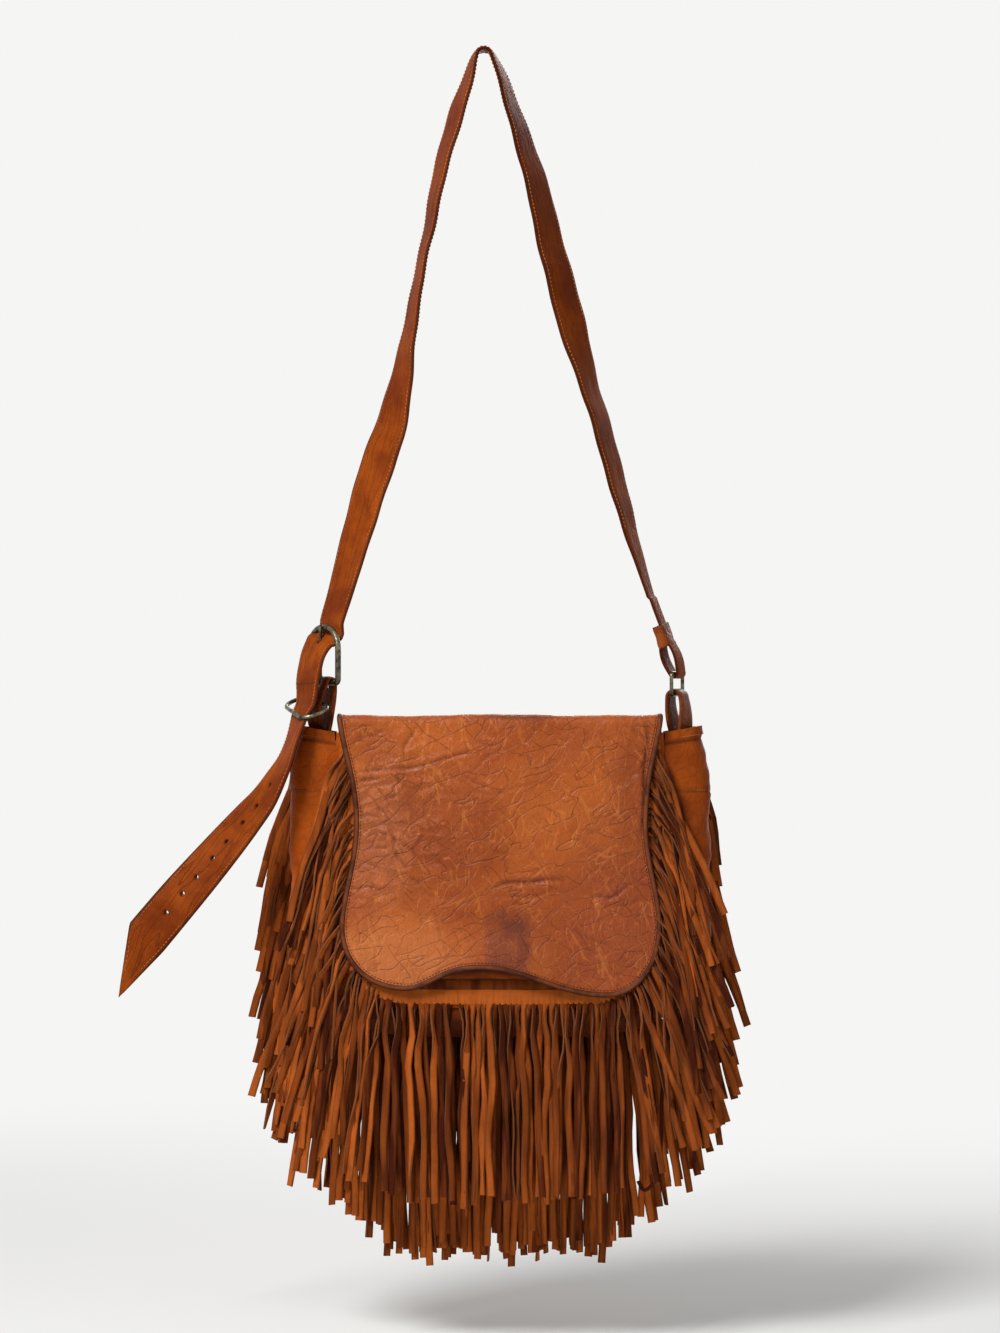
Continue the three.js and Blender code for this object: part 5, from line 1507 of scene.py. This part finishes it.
def strap_stitches(centre, across, normal, at, middle, room, thick):
    """A row of stitches near each edge, on both faces."""
    pitch = 3.6 * MM
    rows = []
    for side in (-1, 1):
        for face in (-1, 1):
            where = np.arange(70 * MM, at[-1] - 6 * MM, pitch)
            edge = np.interp(where, at, middle + side * (room - 3.4 * MM))
            high = np.interp(where, at, thick) / 2 * 0.78
            c, a, n = (
                np.stack([np.interp(where, at, v[:, k]) for k in range(3)], 1)
                for v in (centre, across, normal)
            )
            place = c + unit(a) * edge[:, None] + unit(n) * (face * high + strap_wave(where))[:, None]
            run = unit(np.gradient(place, axis=0))
            rows.append((place, run, unit(n) * face))
    crossing = int(np.argmin(np.linalg.norm(centre - in_buckle(17.3, 0), axis=1)))
    face = np.sign(-normal[crossing][1])
    reach = np.linspace(-15, 15, 12)[:, None] * MM
    high = strap_wave(at)[crossing] + face * thick[crossing] / 2
    seam_line = centre[crossing] + across[crossing] * reach + normal[crossing] * high
    directions = (across[crossing], normal[crossing] * face)
    seam_row = (seam_line, *(np.tile(v, (len(reach), 1)) for v in directions))
    stitches("strap_seam", *seam_row, "bag", "dark_thread", (3.1, 1.2, 0.6))
    stitches("strap_stitches", *(np.concatenate(r) for r in zip(*rows)), "bag", "thread", (2.5, 0.8, 0.5))


def rounded_path(centre, right, up, half_width, half_height, low, high):
    """A rectangle with round corners, as quarter circles joined by straight lines."""
    path = []
    for sx, sy, radius, start in ((1, 1, high, 0), (-1, 1, high, 90), (-1, -1, low, 180), (1, -1, low, 270)):
        a = np.radians(np.linspace(start, start + 90, 9))[:, None]
        x = sx * (half_width - radius) + radius * np.cos(a)
        y = sy * (half_height - radius) + radius * np.sin(a)
        path.append(centre + right * x + up * y)
    return np.concatenate(path)


def make_hardware():
    """The buckle's frame, its prong, the keeper and the ring, all bent from round wire."""
    frame_path = rounded_path(
        in_buckle(0, 25), BUCKLE_ACROSS, UP, BUCKLE_HALF, BUCKLE_HEIGHT / 2, 4.2 * MM, BUCKLE_CORNER + 6 * MM,
    )
    # The prong: an eye round the heel bar, then a straight shank to its tip on the frame
    eye = BUCKLE_WIRE + RUNNING + 1.1 * MM
    angle = np.radians(np.linspace(-250, 20, 30))[:, None]
    curl = HEEL + BUCKLE_FRONT * eye * np.cos(angle) + UP * eye * np.sin(angle)
    shank = mix(curl[-1], in_buckle(4.0, 52.5), np.linspace(0.1, 1, 16)[:, None])
    # The keeper leans with the tab and the strap in it
    centre = HEEL + np.array([-15, -13.2, -21.9]) * MM
    across = unit(np.array([0.4, -0.88, -0.24]))
    tilt = np.array([-0.3, -0.13, 0.95])
    normal = unit(tilt - across * np.dot(tilt, across))
    keeper = rounded_path(centre, across, np.cross(across, normal), 26.3 * MM, 13.6 * MM, 12 * MM, 12 * MM)
    ring = rounded_path(RING_CENTRE, RING_ACROSS, UP, RING_HALF, RING_HEIGHT, 3.5 * MM, 3.5 * MM)
    prong = np.concatenate([curl, shank])
    for name, node_name, body, path, radius, plane, closed, points in (
        ("buckle_wire", "buckle_frame", "bag", frame_path, BUCKLE_WIRE + 0.5 * MM, BUCKLE_FRONT, True, 16),
        ("buckle_prong_wire", "buckle_prong", "prong", prong, 1.4 * MM, BUCKLE_ACROSS, False, 12),
        ("keeper_wire", "keeper_loop", "keeper", keeper, 1.9 * MM, normal, True, 12),
        ("ring_wire", "ring", "ring", ring, RING_WIRE, RING_FRONT, True, 12),
    ):
        made = piece(name, *wire(path, radius, plane, closed, points), MATERIALS["brass"], "aged_brass", body)
        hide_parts(node_name)


def tab_inset(half):
    """How far out a tab of a half width lies flat inside the gusset's fold."""
    fold = math.asin((half + GAP) / HALF_DEPTH)
    room = GUSSET_TOP * math.cos(fold) ** 0.6 - 1.3 * PANEL_THICK
    return HALF_WIDTH + room - TAB_THICK - 2 * GAP


def make_tabs():
    """The two tabs that hold the buckle and the ring."""
    bar = BUCKLE_WIRE + RUNNING + TAB_THICK / 2
    line = folded_line(
        HEEL, bar, BAG + np.array([-tab_inset(12 * MM) + 8 * MM, 0, -TAB_SINK]), BUCKLE_ACROSS,
        unit(np.array([0.6, -0.8, 0])), TAB_THICK, -1,
        lambda share, sign: (6.4 if sign > 0 else 2) * MM * np.sin(np.pi * np.minimum(1, share / 0.8)),
    )
    half = mix(15 * MM, 11.5 * MM, smooth((HEEL[2] - line[0][:, 2]) / (30 * MM)))
    tab = (MATERIALS["tab"], "strap_leather", "bag", 0.25)
    made = strip("left_tab_hide", *line, half, 3.8 * MM, *tab)
    top, low = bar + TAB_THICK, -4.2 * MM - RUNNING
    box = np.array([[-3.5, -12], [3.5, -12], [3.5, 12], [-3.5, 12]]) * MM
    ends = np.stack([HEEL + UP * low, HEEL + UP * top])
    cut_away(made, [carried(ends, np.stack([BUCKLE_ACROSS] * 2), np.stack([BUCKLE_FRONT] * 2), box)])
    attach(made, "bag")
    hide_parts("left_tab")

    arch = RING_WIRE + GAP + 2.6 * MM + TAB_THICK / 2
    line = folded_line(
        RING_CENTRE - UP * (RING_HEIGHT + 2.6 * MM), arch,
        BAG + np.array([tab_inset(13 * MM) - 5 * MM, 0, -TAB_SINK]),
        RING_ACROSS, unit(np.array([-0.5, -0.87, 0])), TAB_THICK, 1,
        lambda share, sign: 2 * MM * np.sin(np.pi * share),
    )
    made = strip("right_tab_hide", *line, 13 * MM, 4 * MM, *tab)
    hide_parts("right_tab")


def make_wrap():
    """A flat tube of leather round both plies of the strap's end, with rounded edges."""
    centre, across, *_ = strap_line()
    along = unit(centre[0] - RING_TOP)
    full = np.linalg.norm(centre[0] - RING_TOP)
    height, top = 20 * MM, 46 * MM
    share = (top - height / 2) / full
    width = unit(mix(RING_ACROSS, across[0], smooth(np.array(share))))
    width = unit(width - along * np.dot(width, along))
    depth = np.cross(along, width)
    closed = smooth(np.array((top - height) / full))
    spread = mix(RING_WIRE + RUNNING + STRAP_END_THICK / 2, (STRAP_END_THICK + GAP) / 2, closed)
    inner_half = np.array([STRAP_END_HALF + 0.5 * MM + GAP, spread + STRAP_END_THICK / 2 + GAP])
    angle = np.linspace(0, 2 * np.pi, 48, endpoint=False)
    oval = np.stack([np.cos(angle), np.sin(angle)], 1)
    oval = np.sign(oval) * np.abs(oval) ** 0.55
    rows = []
    # How far out from its inner face and how far up, in mm
    for outset, level in (
        (0, 0), (0.9, -0.2), (1.4, 0.8), (1.2, 4), (0.9, 10), (1, 16), (1.2, 19.2), (0.8, 20.2), (0, 20),
    ):
        ruffle = ripple(angle * 12 * MM, angle * 0 + level * 2 * MM, 15, 20 * MM, 2)[:, None]
        ruffle = ruffle * 0.7 * MM * (outset > 0.5)
        place = RING_TOP + along * (top - height + level * MM) + along * ruffle * (level / 10 - 1)
        reach = oval * (inner_half + outset * MM + ruffle)
        rows.append(place + width * reach[:, 0:1] + depth * reach[:, 1:2])
    points = np.stack(rows)
    faces = [grid_quads(*points.shape[:2], close_rows=True, close_columns=True)]
    made = piece("strap_wrap_hide", points, faces, MATERIALS["tab"], "strap_leather", "bag", sharp=60)
    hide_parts("strap_wrap")


# Stage


# The photo's middle in X and Z, its height, and how far in front of the bag's front the camera stands
PHOTO_MIDDLE = (14.4 * MM, -557.6 * MM)
PHOTO_HEIGHT = 1.1997
BAG_FRONT = -25 * MM
CAMERA_DISTANCE = 3.0
FILM = 36
FLOOR_REACH = 6.0
FLOOR_LEVEL = CAD_BOX[0].z - 80 * MM


def pale_ray(add):
    """1 for a ray that the eye follows: straight, by gloss or through glass."""
    ray = add("LightPath").outputs
    first = add("Math", (ray["Is Camera Ray"], ray["Is Glossy Ray"]), operation="MAXIMUM")
    return add("Math", (first, ray["Is Transmission Ray"]), operation="MAXIMUM")


def emptied(owner):
    """A short way to add nodes to the tree of a world or a material, which is emptied first."""
    owner.use_nodes = True
    owner.node_tree.nodes.clear()
    return partial(node, owner.node_tree)


def make_stage(settings):
    """A plain pale floor, soft lights, and a level camera square to the bag's front."""
    scene = bpy.context.scene
    scene.view_settings.view_transform = "Standard"
    camera = bpy.data.cameras.new("camera")
    camera.sensor_fit = "VERTICAL"
    camera.sensor_width = camera.sensor_height = FILM
    camera.lens = FILM * CAMERA_DISTANCE / PHOTO_HEIGHT
    eye = bpy.data.objects.new("camera", camera)
    eye.location = (PHOTO_MIDDLE[0], BAG_FRONT - CAMERA_DISTANCE, PHOTO_MIDDLE[1])
    eye.rotation_euler = (math.pi / 2, 0, 0)
    scene.collection.objects.link(eye)
    scene.camera = eye

    # The eye sees a pale wall, and the bag gets a weaker light from all round
    pale = colour(settings.background)
    scene.world = bpy.data.worlds.new("studio")
    add = emptied(scene.world)
    soft = add("Background", {"Color": (1, 1, 1, 1), "Strength": settings.fill})
    wall = add("Background", {"Color": pale, "Strength": 1.0})
    add("OutputWorld", {"Surface": add("MixShader", (pale_ray(add), soft, wall))})

    # Paper that turns into the wall's colour far away
    floor = bpy.data.materials.new("white_paper_floor")
    add = emptied(floor)
    place = add("TexCoord").outputs["Object"]
    tint = painted(add, colour("#ececea"), (add("TexNoise", sized(place, 4, 3, 0.6)), 0.1, "#e0dfdc"))
    paper = add("BsdfDiffuse", {"Color": tint})
    shine = add("Emission", {"Color": pale, "Strength": 1.0})
    far = add("VectorMath", (place,), operation="LENGTH").outputs["Value"]
    away = add("MapRange", span(far, 1.3, 2.2), **SMOOTHLY)
    share = add("Math", (away, pale_ray(add)), operation="MULTIPLY")
    add("OutputMaterial", {"Surface": add("MixShader", (share, paper, shine))})
    steps = np.linspace(-FLOOR_REACH, FLOOR_REACH, 9)
    x, y = np.meshgrid(steps, steps)
    points = np.stack([x, y, np.full_like(x, FLOOR_LEVEL)], -1).reshape(-1, 3)
    mesh = bpy.data.meshes.new("floor")
    mesh.from_pydata(points.tolist(), [], grid_quads(9, 9).tolist())
    mesh.materials.append(floor)
    ground = bpy.data.objects.new("floor", mesh)
    scene.collection.objects.link(ground)

    aim = Vector((PHOTO_MIDDLE[0], 0, -600 * MM))
    for name, at, size, power in (
        ("key", (-1.4, -1.95, 1.4), 1.0, settings.key),
        ("side", (2.1, -1.9, -0.4), 1.4, settings.key * 0.06),
        ("back", (0.6, 2.3, 0.6), 1.6, settings.key * 0.4),
    ):
        lamp = bpy.data.lights.new(name, "AREA")
        lamp.size = size
        lamp.energy = power
        holder = bpy.data.objects.new(name, lamp)
        holder.location = at
        holder.rotation_euler = (aim - Vector(at)).to_track_quat("-Z", "Y").to_euler()
        scene.collection.objects.link(holder)


# Settings


class BagLooks(bpy.types.PropertyGroup):
    """The main colours, as sRGB hex values"""

    flap_light: StringProperty(name="Flap, light", description="Pale tone of the flap", default="#b2581a")
    flap_dark: StringProperty(name="Flap, dark", description="Dark tone of the flap", default="#903d0e")
    body: StringProperty(name="Body", description="Colour of panels and gusset", default="#9c440b")
    strap_light: StringProperty(name="Strap, light", description="Pale tone of the strap", default="#98460f")
    strap_dark: StringProperty(name="Strap, dark", description="Dark tone of the strap", default="#6a2807")
    fringe_light: StringProperty(name="Fringe, light", description="Pale strands", default="#b25920")
    fringe_dark: StringProperty(name="Fringe, dark", description="Dark strands", default="#3c1507")
    binding: StringProperty(name="Binding", description="Colour of the flap's bound edge", default="#35170c")
    brass: StringProperty(name="Brass", description="Bright tone of the wire", default="#77725e")


class BagFringe(bpy.types.PropertyGroup):
    """The fringe's sizes"""

    pitch: FloatProperty(
        name="Strand pitch", description="From one strand to the next along the seam",
        default=5.1 * MM, min=3 * MM, unit="LENGTH", subtype="DISTANCE",
    )


class BagFlap(bpy.types.PropertyGroup):
    """The flap's sizes"""

    binding_width: FloatProperty(
        name="Binding width", description="How far the bound edge reaches onto the flap",
        default=4.2 * MM, min=2 * MM, unit="LENGTH", subtype="DISTANCE",
    )


class BagStage(bpy.types.PropertyGroup):
    """The lights and the background"""

    background: StringProperty(name="Background", description="Colour behind the bag", default="#f5f5f4")
    fill: FloatProperty(name="Fill", description="Strength of the light from all round", default=0.15)
    key: FloatProperty(name="Key", description="Power of the main lamp", default=104.0, unit="POWER")


# Operators


class BAG_OT_stage(bpy.types.Operator):
    """Adds the camera, the lights and the floor"""

    bl_idname = "bag.stage"
    bl_label = "Stage"

    def execute(self, context):
        make_stage(context.scene.bag_stage)
        return {"FINISHED"}


class BAG_OT_body(bpy.types.Operator):
    """Adds the two panels and the gusset"""

    bl_idname = "bag.body"
    bl_label = "Body"

    def execute(self, context):
        make_panels()
        make_gusset()
        return {"FINISHED"}


class BAG_OT_fringe(bpy.types.Operator):
    """Adds the fringe of the front and back"""

    bl_idname = "bag.fringe"
    bl_label = "Fringe"

    def execute(self, context):
        make_fringe(context.scene.bag_fringe)
        return {"FINISHED"}


class BAG_OT_flap(bpy.types.Operator):
    """Adds the flap with its lining, bound edge, stitches and snap"""

    bl_idname = "bag.flap"
    bl_label = "Flap"

    def execute(self, context):
        make_flap_plies()
        make_binding(context.scene.bag_flap)
        make_snap()
        return {"FINISHED"}


class BAG_OT_strap(bpy.types.Operator):
    """Adds the strap, its stitches and the wrap on its end"""

    bl_idname = "bag.strap"
    bl_label = "Strap"

    def execute(self, context):
        make_strap()
        make_wrap()
        return {"FINISHED"}


class BAG_OT_fittings(bpy.types.Operator):
    """Adds the tabs, buckle, keeper and ring"""

    bl_idname = "bag.fittings"
    bl_label = "Tabs and hardware"

    def execute(self, context):
        make_tabs()
        make_hardware()
        return {"FINISHED"}


OPERATORS = (BAG_OT_stage, BAG_OT_body, BAG_OT_fringe, BAG_OT_flap, BAG_OT_strap, BAG_OT_fittings)


class BAG_PT_panel(bpy.types.Panel):
    """Lists the pieces of the bag"""

    bl_label = "Fringed bag"
    bl_space_type = "VIEW_3D"
    bl_region_type = "UI"
    bl_category = "Bag"

    def draw(self, context):
        for operator in OPERATORS:
            self.layout.operator(operator.bl_idname)


GROUPS = {"bag_looks": BagLooks, "bag_fringe": BagFringe, "bag_flap": BagFlap, "bag_stage": BagStage}
CLASSES = (*GROUPS.values(), *OPERATORS, BAG_PT_panel)


def register():
    for cls in CLASSES:
        bpy.utils.register_class(cls)
    for name, group in GROUPS.items():
        setattr(bpy.types.Scene, name, PointerProperty(type=group))


def unregister():
    for name in GROUPS:
        delattr(bpy.types.Scene, name)
    for cls in reversed(CLASSES):
        bpy.utils.unregister_class(cls)


def main():
    register()
    make_materials(bpy.context.scene.bag_looks)
    bpy.ops.bag.stage()
    bpy.ops.bag.body()
    bpy.ops.bag.fringe()
    bpy.ops.bag.flap()
    bpy.ops.bag.strap()
    bpy.ops.bag.fittings()
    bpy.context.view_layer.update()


if __name__ == "__main__":
    main()
